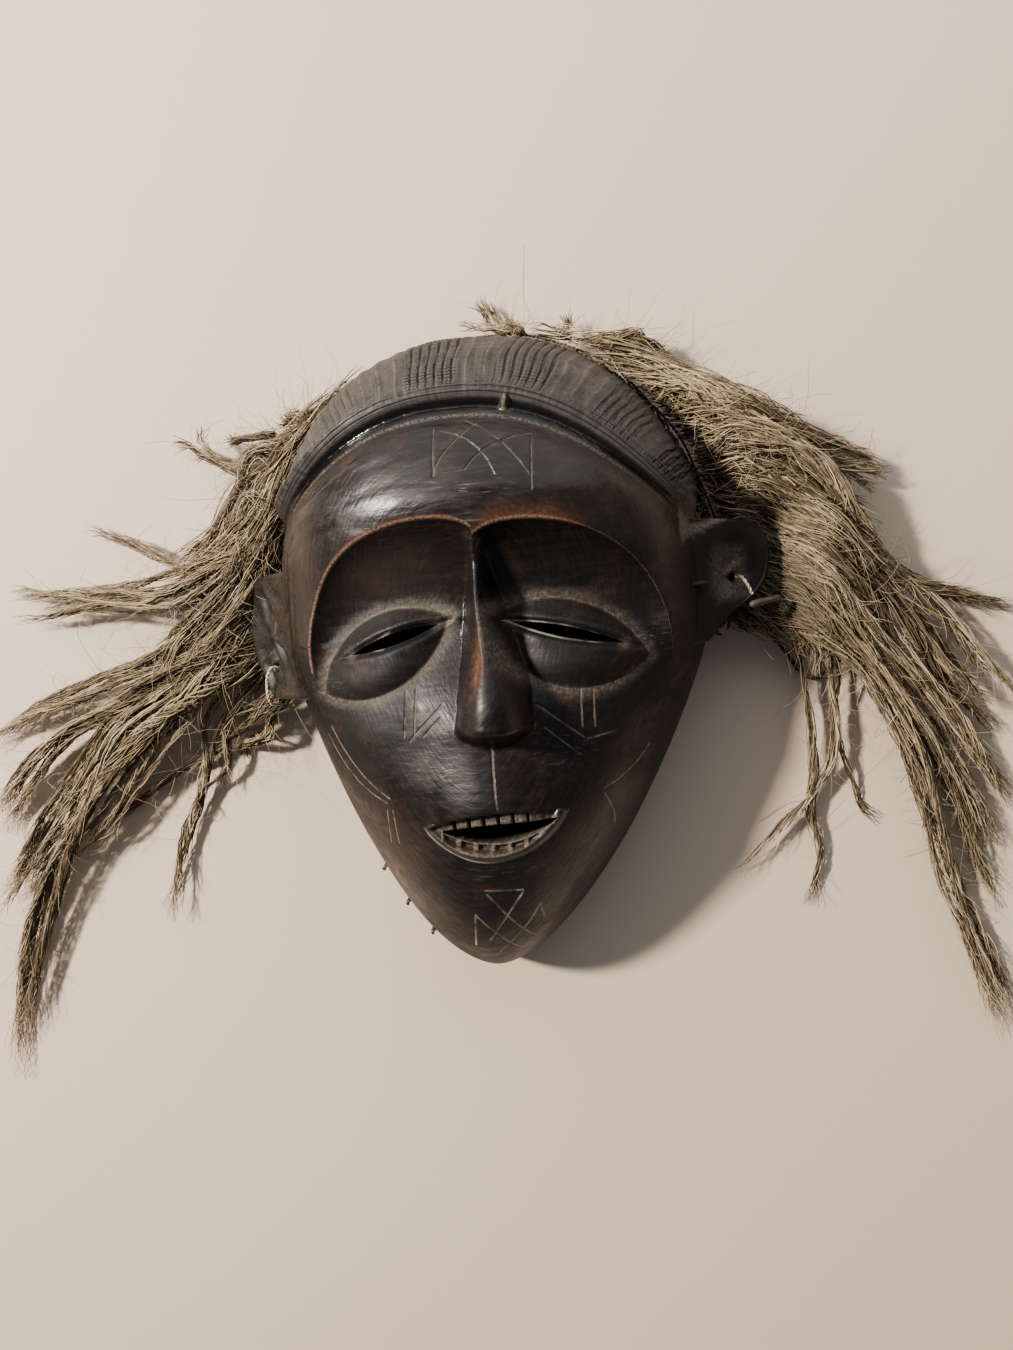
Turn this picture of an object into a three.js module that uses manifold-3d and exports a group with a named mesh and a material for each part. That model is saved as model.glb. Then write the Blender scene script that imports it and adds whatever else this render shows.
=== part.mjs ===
// Carved wooden face mask with a wig of plant fibre, lying on its back rim with the face up.
// X is the viewer's right, Y the top of the head and Z out of the face, all in millimetres.
import * as THREE from "three";
import Module from "manifold-3d";
import { mergeVertices } from "three/addons/utils/BufferGeometryUtils.js";

const wasm = await Module();
wasm.setup();

// Driving sizes of the carved shell
const halfWidth = 86;
const waistY = 18;
const crownReach = 114;
const chinReach = 136;
const cheekHeight = 91;
const foreheadRise = 9;
const wallThickness = 10;
const rimWidth = 11;

// Outline exponents: full round crown, straight jaw that ends in a small round chin
const crownPower = 2.3;
const jawPower = 1.12;
const jawSidePower = 1.7;
const domePower = 3;
const domeRootPower = 2.2;

// Headband: the crease over the forehead, the fillet above it and the fluted band
const bandMiddle = THREE.MathUtils.degToRad(87);
const bandHalfSpan = THREE.MathUtils.degToRad(61);
const creaseStart = 0.655;
const creaseRun = 0.245;
const filletStart = 0.708;
const filletRun = 0.237;
const bandProud = 4;
const fluteDepth = 1;
const bandBackHeight = 24;

// Face features
const browArch = { rise: 47, leftFoot: 12, rightFoot: 9.5, leftSpan: 65, rightSpan: 63.5, middleX: 4 };
const browNotch = 5;
const browStep = 7;
const socketDeep = 6;
const lidBulge = 6.5;
const eyes = {
  left: { inner: [-9.5, 26], outer: [-57, 2], upper: 14, lower: 12.5 },
  right: { inner: [6.5, 25], outer: [59, 7], upper: 12, lower: 17 },
};
const eyeSlits = {
  left: { inner: [-12, 24], outer: [-45.5, 15], upper: 3, lower: 2.6 },
  right: { inner: [12, 22.8], outer: [52.5, 11.5], upper: 3, lower: 2 },
};
const mouth = { left: [-22.5, -46.4], right: [28, -43.4], upper: 4, lower: 15.5 };
const mouthHollow = { left: [-20.5, -46.2], right: [26, -43.6], upper: 3.6, lower: 12.2 };
const muzzleBulge = 6;
const mouthFloor = 86;
const cutterLow = 30;
const cutterHigh = 120;
const mouthSlot = { left: [-16, -47], right: [24.5, -45], upper: 0.8, lower: 6 };
const mouthSlope = THREE.MathUtils.degToRad(14);
const tooth = { width: 3.6, height: 3.6, stand: 2.2 };
const teethUpper = 8;
const teethLower = 7;

// Ears: plates that stand back from the temples, and the holes for their strings
const ears = {
  left: { side: -1, root: [-72, 24, 55], sweep: 45, reach: 38, top: 24, bottom: -25, lobe: 23, hole: [20.5, -12.5] },
  right: { side: 1, root: [74, 34, 49], sweep: 35, reach: 41.5, top: 20.5, bottom: -25, lobe: 10, hole: [25.6, -1.6] },
};
const earRootDepth = 8;
const earThickness = 7;
const earHoleRadius = 2;
const stringRadius = 0.65;
const toggle = { radius: 1.4, length: 15, tilt: 7, middle: [35, -11.4, 3.4] };

// Lacing holes through the lower left rim, with the stubs of their old thread
const lacingAngles = [242, 250, 256.5];
const lacingHeight = 7;
const lacingRadius = 1.6;
const threadRadius = 0.9;

// Mesh fineness
const faceSpokes = 76;
const faceRings = 17;
const bandSpokes = 152;
const bandRings = 6;
const hollowSpokes = 36;
const hollowRings = 8;

// Wig
const netStandOff = 1.6;
const netThickness = 7;
const netLow = 2;
const netHigh = 17;
const netStart = THREE.MathUtils.degToRad(-10);
const netEnd = THREE.MathUtils.degToRad(190);
const netSteps = 38;
const lockSteps = 8;
const lockRootHeight = 13;
const lockTipHeight = 5;

function smooth(from, to, value) {
  const share = THREE.MathUtils.clamp((value - from) / (to - from), 0, 1);
  return share * share * (3 - 2 * share);
}

// The block leans a little to the left towards the chin and the crown
function lean(y) {
  return -6 * (1 - smooth(-112, 20, y)) - 2 * (1 - smooth(-118, -60, y)) - 2 * smooth(60, 130, y);
}

function outlineValue(radius, angle) {
  const across = Math.abs(radius * Math.cos(angle)) / halfWidth;
  const along = Math.abs(radius * Math.sin(angle));
  if (Math.sin(angle) > 0) {
    return across ** crownPower + (along / crownReach) ** crownPower;
  }
  return across ** jawSidePower + (along / chinReach) ** jawPower;
}

function rimRadius(angle) {
  let low = 1;
  let high = crownReach + chinReach;
  while (high - low > 0.001) {
    const middle = (low + high) / 2;
    if (outlineValue(middle, angle) < 1) {
      low = middle;
    } else {
      high = middle;
    }
  }
  return low;
}

function domeProfile(t) {
  return Math.max(0, 1 - t ** domePower) ** (1 / domeRootPower);
}

function profileReach(level) {
  return (1 - level ** domeRootPower) ** (1 / domePower);
}

function domeTop(y) {
  return cheekHeight + foreheadRise * smooth(30, 60, y);
}

function domePoint(angle, t, inset = 0, sink = 0) {
  const radius = t * (rimRadius(angle) - inset);
  const y = waistY + radius * Math.sin(angle);
  const x = radius * Math.cos(angle) + lean(y);
  return new THREE.Vector3(x, y, (domeTop(y) - sink) * domeProfile(t));
}

function domeNormal(angle, t) {
  const step = 0.002;
  const inward = Math.min(t, 1 - step);
  const here = domePoint(angle, inward);
  const outward = domePoint(angle, inward + step).sub(here);
  const around = domePoint(angle + step, inward).sub(here);
  return outward.cross(around).normalize();
}

// Signed depth inside the brow arches, positive in the eye sockets
function socketInset(x, y) {
  const isLeft = x < browArch.middleX;
  const foot = isLeft ? browArch.leftFoot : browArch.rightFoot;
  const span = isLeft ? browArch.leftSpan : browArch.rightSpan;
  const out = Math.abs(x - browArch.middleX);
  const up = Math.max(0, y + browNotch * Math.exp(-out / 6) - foot);
  const size = (out / span) ** 3 + (up / browArch.rise) ** 2;
  return 52 * (1 - size ** 0.4);
}

function socketDepth(x, y) {
  const inset = socketInset(x, y);
  const fade = smooth(-16, 26, y);
  return fade * (browStep * smooth(0, 3.5, inset) + socketDeep * smooth(2, 26, inset));
}

// Distance inside a lens between two corners, bounded by an upper and a lower arc
function lensInset(lens, x, y) {
  const [start, end] = lens.left ? [lens.left, lens.right] : [lens.inner, lens.outer];
  const half = Math.hypot(end[0] - start[0], end[1] - start[1]) / 2;
  const axis = [(end[0] - start[0]) / (2 * half), (end[1] - start[1]) / (2 * half)];
  const flip = axis[0] < 0 ? -1 : 1;
  const dx = x - (start[0] + end[0]) / 2;
  const dy = y - (start[1] + end[1]) / 2;
  const along = dx * axis[0] + dy * axis[1];
  const above = flip * (dy * axis[0] - dx * axis[1]);
  const upperRadius = (half ** 2 + lens.upper ** 2) / (2 * lens.upper);
  const lowerRadius = (half ** 2 + lens.lower ** 2) / (2 * lens.lower);
  const upper = upperRadius - Math.hypot(along, above - lens.upper + upperRadius);
  const lower = lowerRadius - Math.hypot(along, above + lens.lower - lowerRadius);
  return { upper, lower, inset: Math.min(upper, lower), full: Math.min(lens.upper, lens.lower) };
}

function lidHeight(x, y) {
  const lens = lensInset(x < browArch.middleX ? eyes.left : eyes.right, x, y);
  if (lens.inset <= 0) {
    return 0;
  }
  const share = (2 * lens.upper * lens.lower) / ((lens.upper + lens.lower) * lens.full);
  return lidBulge * Math.min(1, share) ** 0.6;
}

function muzzleHeight(x, y) {
  const lips = muzzleBulge * Math.exp(-(((x - 3) / 24) ** 2) - ((y + 45) / 19) ** 2);
  const lens = lensInset(mouth, x, y);
  const lowerLip = lens.inset > 0 && lens.lower < 4 ? 1.6 * Math.sin((Math.PI * lens.lower) / 4) : 0;
  return lips + lowerLip;
}

// The ridge of the nose: height over the rim plane, centre and half width at each level
function noseHeight(x, y, ground) {
  const rise = 6 * smooth(44, 22, y) + 10 * smooth(24, -8, y) * smooth(-18.5, -12, y);
  const ridge = 93 + 3 * smooth(44, 53, y) + rise;
  const centre = 3.5 + 3 * smooth(38, -8, y);
  const half = 3.2 + 11.3 * THREE.MathUtils.clamp((46 - y) / 54, 0, 1.1);
  const offset = Math.abs(x - centre) / half;
  if (offset >= 1 || y > 56 || y < -19) {
    return ground;
  }
  const end = smooth(-19, -15, y) * smooth(56, 48, y);
  return ground + Math.max(0, ridge - ground) * end * (1 - offset ** 1.5);
}

function bandOffset(angle) {
  const turn = Math.atan2(Math.sin(angle - bandMiddle), Math.cos(angle - bandMiddle));
  return Math.abs(turn) / bandHalfSpan;
}

function creaseAt(angle) {
  return creaseStart + creaseRun * Math.min(1, bandOffset(angle)) ** 2.5;
}

function filletAt(angle) {
  return filletStart + filletRun * Math.min(1, bandOffset(angle)) ** 2.6;
}

function bandStrength(angle) {
  return 1 - smooth(0.9, 1.02, bandOffset(angle));
}

function facePoint(angle, t) {
  const point = domePoint(angle, t);
  const fade = 1 - smooth(0.88, 0.98, t);
  const relief = lidHeight(point.x, point.y) + muzzleHeight(point.x, point.y) - socketDepth(point.x, point.y);
  const forehead = 2 * smooth(56, 66, point.y) * smooth(0.99, 0.9, t / creaseAt(angle));
  point.z = noseHeight(point.x, point.y, point.z + fade * (relief + forehead));
  return point;
}

// A vertex that lies within half a ring's pitch of the brow's edge is drawn onto it, so that the edge stays crisp
function drawnToBrow(angle, t, pitch) {
  const [inside, outside] = [t - pitch / 2, t + pitch / 2].map((share) => {
    const point = domePoint(angle, share);
    return socketInset(point.x, point.y);
  });
  if (inside > 0 === outside > 0) {
    return t;
  }
  return t - pitch / 2 + (pitch * inside) / (inside - outside);
}

function bandPoint(angle, t, lift) {
  return domePoint(angle, t).addScaledVector(domeNormal(angle, t), lift * bandStrength(angle));
}

// One ring of vertices round the shell, in order of angle
function ring(points, spokes, place) {
  const first = points.length;
  for (let spoke = 0; spoke < spokes; spoke += 1) {
    points.push(place((2 * Math.PI * spoke) / spokes, spoke));
  }
  return Array.from({ length: spokes }, (_, spoke) => first + spoke);
}

// Triangles between two rings, which may have different numbers of vertices
function zip(faces, inner, outer) {
  let a = 0;
  let b = 0;
  while (a < inner.length || b < outer.length) {
    const here = inner[a % inner.length];
    const there = outer[b % outer.length];
    if (b < outer.length && (a >= inner.length || (b + 1) * inner.length <= (a + 1) * outer.length)) {
      faces.push(here, there, outer[(b + 1) % outer.length]);
      b += 1;
    } else {
      faces.push(here, there, inner[(a + 1) % inner.length]);
      a += 1;
    }
  }
}

function solidFrom(geometry, matrix = new THREE.Matrix4()) {
  const bare = geometry.clone().applyMatrix4(matrix);
  bare.deleteAttribute("normal");
  bare.deleteAttribute("uv");
  const merged = mergeVertices(bare, 0.0005);
  return new wasm.Manifold(new wasm.Mesh({
    numProp: 3,
    vertProperties: new Float32Array(merged.attributes.position.array),
    triVerts: new Uint32Array(merged.index.array),
  }));
}

function geometryFrom(solid) {
  const mesh = solid.getMesh();
  const geometry = new THREE.BufferGeometry();
  geometry.setAttribute("position", new THREE.BufferAttribute(new Float32Array(mesh.vertProperties), 3));
  geometry.setIndex(new THREE.BufferAttribute(new Uint32Array(mesh.triVerts), 1));
  geometry.computeVertexNormals();
  return geometry;
}

function geometryOf(points, faces) {
  const geometry = new THREE.BufferGeometry().setFromPoints(points);
  geometry.setIndex(faces);
  geometry.computeVertexNormals();
  return geometry;
}

// The shell: face, band, side walls, flat back rim and the hollow behind
function shellGeometry() {
  const points = [facePoint(0, 0)];
  const faces = [];
  let last = null;
  for (let step = 1; step <= faceRings; step += 1) {
    const next = ring(points, faceSpokes, (angle) => {
      const pitch = creaseAt(angle) / faceRings;
      return facePoint(angle, step < faceRings ? drawnToBrow(angle, step * pitch, pitch) : creaseAt(angle));
    });
    if (last) {
      zip(faces, last, next);
    } else {
      next.forEach((vertex, spoke) => faces.push(0, vertex, next[(spoke + 1) % next.length]));
    }
    last = next;
  }
  const fillet = ring(points, bandSpokes, (angle) => bandPoint(angle, filletAt(angle), bandProud + 0.6));
  zip(faces, last, fillet);
  last = fillet;
  for (let step = 1; step <= bandRings; step += 1) {
    const next = ring(points, bandSpokes, (angle, spoke) => {
      const start = domeProfile(filletAt(angle));
      const level = start * (1 - step / bandRings);
      const t = profileReach(level);
      const height = domePoint(angle, t).z;
      const flute = spoke % 2 === 0 ? fluteDepth : 0;
      return bandPoint(angle, t, (bandProud - flute) * smooth(bandBackHeight - 12, bandBackHeight, height));
    });
    zip(faces, last, next);
    last = next;
  }
  for (let step = hollowRings; step >= 1; step -= 1) {
    const t = step === hollowRings ? 1 : profileReach(1 - (step / hollowRings) ** 1.5);
    const next = ring(points, hollowSpokes, (angle) => hollowPoint(angle, t));
    zip(faces, last, next);
    last = next;
  }
  const pole = points.length;
  points.push(hollowPoint(0, 0));
  last.forEach((vertex, spoke) => faces.push(vertex, pole, last[(spoke + 1) % last.length]));
  return geometryOf(points, faces);
}

function hollowPoint(angle, t) {
  const point = domePoint(angle, t, rimWidth, wallThickness);
  point.z -= (1 - smooth(0.8, 0.98, t)) * socketDepth(point.x, point.y);
  return point;
}

// A lens-shaped cutter, drawn on the face and run through it along Z
function lensShape(lens) {
  const [start, end] = lens.left ? [lens.left, lens.right] : [lens.inner, lens.outer];
  const ordered = start[0] < end[0] ? [start, end] : [end, start];
  const [from, to] = ordered.map(([x, y]) => new THREE.Vector2(x, y));
  const middle = from.clone().add(to).multiplyScalar(0.5);
  const up = new THREE.Vector2(from.y - to.y, to.x - from.x).normalize();
  const above = middle.clone().addScaledVector(up, 2 * lens.upper);
  const below = middle.clone().addScaledVector(up, -2 * lens.lower);
  const shape = new THREE.Shape();
  shape.moveTo(from.x, from.y);
  shape.quadraticCurveTo(below.x, below.y, to.x, to.y);
  shape.quadraticCurveTo(above.x, above.y, from.x, from.y);
  return shape;
}

function lensCutter(lens) {
  const cutter = new THREE.ExtrudeGeometry(lensShape(lens), {
    depth: cutterHigh - cutterLow,
    bevelEnabled: false,
    curveSegments: 8,
  });
  return solidFrom(cutter, new THREE.Matrix4().makeTranslation(0, 0, cutterLow));
}

// The mouth's frame: its floor slopes down towards the chin with the face
function mouthFrame(floor) {
  const hinge = new THREE.Matrix4().makeTranslation(0, mouth.left[1], floor);
  const slope = new THREE.Matrix4().makeRotationX(mouthSlope);
  const back = new THREE.Matrix4().makeTranslation(0, -mouth.left[1], 0);
  return hinge.multiply(slope).multiply(back);
}

function toothRow(count, edge, direction) {
  const row = [];
  for (let index = 0; index < count; index += 1) {
    const share = (index + 0.5) / count;
    const x = THREE.MathUtils.lerp(mouthSlot.left[0] + 1, mouthSlot.right[0] - 1, share);
    const y = edge(share) + direction * tooth.height * 0.5;
    const block = new THREE.BoxGeometry(tooth.width, tooth.height, tooth.stand * 2);
    row.push({ block, place: new THREE.Matrix4().makeTranslation(x, y, 0) });
  }
  return row;
}

function slotEdge(share, bow) {
  const chord = THREE.MathUtils.lerp(mouthSlot.left[1], mouthSlot.right[1], share);
  return chord + bow * (1 - (2 * share - 1) ** 2);
}

function cutMouth(solid) {
  const frame = mouthFrame(mouthFloor);
  const hollow = new THREE.ExtrudeGeometry(lensShape(mouthHollow), {
    depth: 20,
    bevelEnabled: false,
    curveSegments: 8,
  });
  let carved = solid.subtract(solidFrom(hollow, frame));
  const upperRow = toothRow(teethUpper, (share) => slotEdge(share, mouthSlot.upper) + 0.4, 1);
  const lowerRow = toothRow(teethLower, (share) => slotEdge(share, -mouthSlot.lower) - 0.4, -1);
  for (const { block, place } of [...upperRow, ...lowerRow]) {
    carved = carved.add(solidFrom(block, frame.clone().multiply(place)));
  }
  return carved.subtract(lensCutter(mouthSlot));
}

// An ear's own frame: first axis outwards, second up the head, third out of its front
function earFrame(ear) {
  const sweep = THREE.MathUtils.degToRad(ear.sweep);
  const outwards = new THREE.Vector3(ear.side * Math.cos(sweep), 0, -Math.sin(sweep));
  const upwards = new THREE.Vector3(0, ear.side, 0);
  const forwards = new THREE.Vector3(ear.side * Math.sin(sweep), 0, Math.cos(sweep));
  return new THREE.Matrix4().makeBasis(outwards, upwards, forwards).setPosition(...ear.root);
}

function earOutline(ear) {
  const top = ear.side * ear.top;
  const bottom = ear.side * ear.bottom;
  const outline = new THREE.Shape();
  outline.moveTo(-earRootDepth, top);
  outline.lineTo(0.6 * ear.reach, top);
  outline.quadraticCurveTo(ear.reach, top, ear.reach, 0.4 * top);
  outline.bezierCurveTo(ear.reach, 0.5 * bottom, ear.lobe + 9, 0.4 * bottom, ear.lobe, bottom);
  outline.lineTo(-earRootDepth, bottom);
  outline.closePath();
  return outline;
}

function addEar(solid, ear) {
  const frame = earFrame(ear);
  const plate = new THREE.ExtrudeGeometry(earOutline(ear), {
    depth: earThickness - 2,
    curveSegments: 5,
    bevelThickness: 1,
    bevelSize: 1,
    bevelSegments: 1,
  });
  plate.translate(0, 0, -earThickness + 1);
  const scoop = new THREE.SphereGeometry(1, 12, 6);
  scoop.scale(0.36 * ear.reach, 0.36 * (ear.top - ear.bottom), 4.5);
  scoop.translate(0.52 * ear.reach, 0.1 * ear.side * ear.top, 0.8);
  const drill = new THREE.CylinderGeometry(earHoleRadius, earHoleRadius, 30, 8);
  drill.rotateX(Math.PI / 2);
  drill.translate(ear.hole[0], ear.side * ear.hole[1], 0);
  const tragus = new THREE.SphereGeometry(1, 8, 6);
  tragus.scale(5, 7, 5);
  tragus.translate(1, ear.side * -6, 0);
  const carved = solidFrom(plate, frame).subtract(solidFrom(scoop, frame)).subtract(solidFrom(drill, frame));
  return solid.add(carved).add(solidFrom(tragus, frame));
}

function lacingDrill(degrees) {
  const angle = THREE.MathUtils.degToRad(degrees);
  const drill = new THREE.CylinderGeometry(lacingRadius, lacingRadius, 40, 6);
  drill.rotateZ(Math.PI / 2 + angle);
  const place = besideRim(angle, -rimWidth / 2, lacingHeight);
  return solidFrom(drill, new THREE.Matrix4().makeTranslation(place));
}

function maskGeometry() {
  let solid = solidFrom(shellGeometry());
  solid = cutMouth(solid);
  for (const slit of Object.values(eyeSlits)) {
    solid = solid.subtract(lensCutter(slit));
  }
  for (const ear of Object.values(ears)) {
    solid = addEar(solid, ear);
  }
  for (const degrees of lacingAngles) {
    solid = solid.subtract(lacingDrill(degrees));
  }
  return geometryFrom(solid);
}

// A tube along a smooth route, with flat ends
function tube(route, radius, sides, steps) {
  const section = new THREE.Shape();
  section.absarc(0, 0, radius, 0, 2 * Math.PI);
  const path = new THREE.CatmullRomCurve3(route);
  return new THREE.ExtrudeGeometry(section, {
    steps,
    extrudePath: path,
    curveSegments: sides,
    bevelEnabled: false,
  });
}

// Rings of one section moved along a route and closed with flat ends
function loft(sections) {
  const points = sections.flat();
  const count = sections[0].length;
  const faces = [];
  for (let step = 0; step < sections.length - 1; step += 1) {
    for (let corner = 0; corner < count; corner += 1) {
      const a = step * count + corner;
      const b = step * count + ((corner + 1) % count);
      faces.push(a, b, b + count, a, b + count, a + count);
    }
  }
  const end = points.length - count;
  for (let corner = 1; corner < count - 1; corner += 1) {
    faces.push(0, corner + 1, corner);
    faces.push(end, end + corner, end + corner + 1);
  }
  return geometryOf(points, faces);
}

// Point outside the rim at a distance from it
function besideRim(angle, distance, height) {
  const radius = rimRadius(angle) + distance;
  const y = waistY + radius * Math.sin(angle);
  return new THREE.Vector3(radius * Math.cos(angle) + lean(y), y, height);
}

function netGeometry() {
  const inner = netStandOff;
  const outer = inner + netThickness;
  const chamfer = 2;
  const sections = [];
  for (let step = 0; step <= netSteps; step += 1) {
    const angle = THREE.MathUtils.lerp(netStart, netEnd, step / netSteps);
    sections.push([
      besideRim(angle, inner, netLow),
      besideRim(angle, inner, netHigh),
      besideRim(angle, outer - chamfer, netHigh),
      besideRim(angle, outer, netHigh - chamfer),
      besideRim(angle, outer, netLow + chamfer),
      besideRim(angle, outer - chamfer, netLow),
    ]);
  }
  return loft(sections);
}

// Bundles of fibre: the angle on the net where each leaves it, the tip, the bow of its route, widths and height
const locks = {
  lock_crown_left: { from: 104, tip: [-12, 160], bow: 2, root: 12, end: 6, rise: 12 },
  lock_crown_right: { from: 74, tip: [66, 142], bow: 5, root: 22, end: 8, rise: 20 },
  lock_right_top: { from: 54.5, tip: [158, 66], bow: 22, root: 32, end: 16, rise: 34 },
  lock_right_upper: { from: 34.5, tip: [206, 4], bow: 15, root: 24, end: 16, rise: 30 },
  lock_right_outer: { from: 19, tip: [206, -84], bow: 22, root: 22, end: 20, rise: 26 },
  lock_right_long: { from: 7, tip: [196, -160], bow: 24, root: 16, end: 14, rise: 20 },
  lock_right_inner: { from: -4, tip: [124, -108], bow: 14, root: 14, end: 6, rise: 12 },
  lock_left_top: { from: 133, tip: [-136, 100], bow: -4, root: 34, end: 8, rise: 24 },
  lock_left_single: { from: 148, tip: [-190, 79], bow: -5, root: 12, end: 5, rise: 14 },
  lock_left_upper: { from: 160, tip: [-226, 48], bow: -4, root: 24, end: 14, rise: 26 },
  lock_left_middle: { from: 173, tip: [-234, -28], bow: -10, root: 20, end: 20, rise: 24 },
  lock_left_long: { from: 184, tip: [-240, -150], bow: -20, root: 16, end: 20, rise: 20 },
  lock_left_low: { from: 193, tip: [-162, -104], bow: -12, root: 10, end: 7, rise: 10 },
};
const lockStandOff = netStandOff + netThickness + 3;

function lockSection(centre, sideways, width, height) {
  const corners = [[0.5, 0.02], [0.44, 0.62], [0.2, 1], [-0.2, 1], [-0.44, 0.62], [-0.5, 0.02]];
  return corners.map(([across, up]) => {
    const corner = centre.clone().addScaledVector(sideways, across * width);
    corner.z = up * height;
    return corner;
  });
}

function lockGeometry(lock) {
  const angle = THREE.MathUtils.degToRad(lock.from);
  const start = besideRim(angle, lockStandOff, 0);
  const alongRim = besideRim(angle + 0.01, lockStandOff, 0).sub(start).normalize();
  const tip = new THREE.Vector3(lock.tip[0], lock.tip[1], 0);
  const chord = tip.clone().sub(start);
  const left = new THREE.Vector3(-chord.y, chord.x, 0).normalize();
  const bend = start.clone().addScaledVector(chord, 0.4).addScaledVector(left, lock.bow);
  const route = new THREE.QuadraticBezierCurve3(start, bend, tip);
  const sections = [];
  for (let step = 0; step <= lockSteps; step += 1) {
    const share = step / lockSteps;
    const tangent = route.getTangent(share);
    const across = new THREE.Vector3(-tangent.y, tangent.x, 0);
    const sideways = alongRim.clone().lerp(across, smooth(0, 0.3, share)).normalize();
    const width = THREE.MathUtils.lerp(lock.root, lock.end, share);
    const rise = THREE.MathUtils.lerp(Math.min(lock.rise, lockRootHeight), lock.rise, smooth(0, 0.25, share));
    const height = THREE.MathUtils.lerp(rise, lockTipHeight, smooth(0.1, 0.85, share));
    sections.push(lockSection(route.getPoint(share), sideways, width, height));
  }
  return loft(sections);
}

// A route given in an ear's own frame
function earRoute(ear, stations) {
  const frame = earFrame(ear);
  return stations.map(([out, up, front]) => new THREE.Vector3(out, ear.side * up, front).applyMatrix4(frame));
}

function rightStringGeometry() {
  const [out, up] = ears.right.hole;
  const stations = [
    [out, up, -2],
    [out, up, 1.6],
    [out + 1.2, up - 3.4, 3.6],
    [out + 3, up - 6.8, 3.6],
  ];
  return tube(earRoute(ears.right, stations), stringRadius, 3, 8);
}

function leftStringGeometry() {
  const [out, up] = ears.left.hole;
  const stations = [[out, up, -2], [out, up, 1.6], [out + 1, up - 5, 3.4], [out + 2, up - 13.5, 2.2]];
  const route = earRoute(ears.left, stations);
  route.push(new THREE.Vector3(-92.5, -4.6, 17.2));
  return tube(route, stringRadius, 3, 14);
}

function toggleGeometry() {
  const stick = new THREE.CylinderGeometry(toggle.radius, toggle.radius, toggle.length, 8);
  stick.rotateZ(Math.PI / 2 + THREE.MathUtils.degToRad(toggle.tilt));
  stick.translate(...toggle.middle);
  return stick.applyMatrix4(earFrame(ears.right));
}

function leftTieGeometry() {
  const stations = [[-89.5, -1.5, 11.5], [-94, -3, 14.2], [-102, -5, 14.3], [-109, -8, 13.2]];
  return tube(stations.map((station) => new THREE.Vector3(...station)), 2.2, 4, 9);
}

function threadGeometry(degrees) {
  const angle = THREE.MathUtils.degToRad(degrees);
  const reaches = [[-5, 0], [0.5, 0], [3, -1], [4.2, -3.5]];
  const route = reaches.map(([out, drop]) => besideRim(angle, out, lacingHeight + drop));
  return tube(route, threadRadius, 3, 5);
}

function paint(color, roughness) {
  return new THREE.MeshStandardMaterial({ color, roughness, metalness: 0 });
}

const finishes = {
  darkWood: paint(0x2b211d, 0.42),
  darkCord: paint(0x3a3026, 0.9),
  fibre: paint(0x8e7b58, 0.85),
  paleString: paint(0xd8cfb8, 0.8),
  greyStick: paint(0x77736a, 0.6),
};

const object = new THREE.Group();

function addPiece(name, geometry, material) {
  const piece = new THREE.Mesh(geometry, material);
  piece.name = name;
  object.add(piece);
}

addPiece("mask", maskGeometry(), finishes.darkWood);
addPiece("wig_net", netGeometry(), finishes.darkCord);
for (const [name, lock] of Object.entries(locks)) {
  addPiece(name, lockGeometry(lock), finishes.fibre);
}
addPiece("ear_string_right", rightStringGeometry(), finishes.paleString);
addPiece("ear_string_left", leftStringGeometry(), finishes.paleString);
addPiece("toggle", toggleGeometry(), finishes.greyStick);
addPiece("wig_tie_left", leftTieGeometry(), finishes.darkCord);
lacingAngles.forEach((degrees, index) => {
  addPiece(`rim_thread_${index + 1}`, threadGeometry(degrees), finishes.darkCord);
});

// The origin is under the middle of the whole object, on the plane that the rim lies on
const extent = new THREE.Box3().setFromObject(object);
const middle = extent.getCenter(new THREE.Vector3());
object.position.set(-middle.x, -middle.y, -extent.min.z);

export default object;
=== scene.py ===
import math
import bmesh
import bpy
import numpy as np
from mathutils import Matrix, Vector


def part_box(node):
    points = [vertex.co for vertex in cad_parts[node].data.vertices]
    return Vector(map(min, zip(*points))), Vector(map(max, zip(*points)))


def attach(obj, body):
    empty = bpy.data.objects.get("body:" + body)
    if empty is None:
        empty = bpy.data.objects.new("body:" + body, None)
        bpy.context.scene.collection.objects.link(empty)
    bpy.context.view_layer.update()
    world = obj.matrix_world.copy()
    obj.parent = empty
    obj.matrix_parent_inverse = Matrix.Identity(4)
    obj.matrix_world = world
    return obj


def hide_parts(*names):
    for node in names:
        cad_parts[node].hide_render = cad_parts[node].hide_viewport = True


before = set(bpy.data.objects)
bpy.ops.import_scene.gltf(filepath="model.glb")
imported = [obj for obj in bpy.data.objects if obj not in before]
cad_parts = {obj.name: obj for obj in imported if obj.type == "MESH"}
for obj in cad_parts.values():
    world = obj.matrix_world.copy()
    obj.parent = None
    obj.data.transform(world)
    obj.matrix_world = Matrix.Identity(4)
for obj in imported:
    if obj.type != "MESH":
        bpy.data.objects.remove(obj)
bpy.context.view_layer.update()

# The block: one piece of light hardwood, hewn to a dome with a full crown and a straight jaw.
# Its back is hollowed out to a wall of about 10 mm, and the rim is cut flat, so that it lies on a table.
# Everything is drawn in millimetres from the middle of the face and set on the table at the end.
HALF_WIDTH = 86
WAIST_Y = 18
CROWN_REACH = 114
CHIN_REACH = 136
CROWN_FULLNESS = 2.3
JAW_FULLNESS = (1.7, 1.12)
CHEEK_HEIGHT = 91
FOREHEAD_RISE = 9
DOME_FULLNESS = (3, 2.2)
MEAN_REACH = 105
MEAN_RISE = 95
WALL = 10
RIM_WIDTH = 11
to_table_x = (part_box("wig_net")[0][0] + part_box("wig_net")[1][0]) / 2
to_table_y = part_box("mask")[0][1] + (CHIN_REACH - WAIST_Y) / 1000


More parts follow.
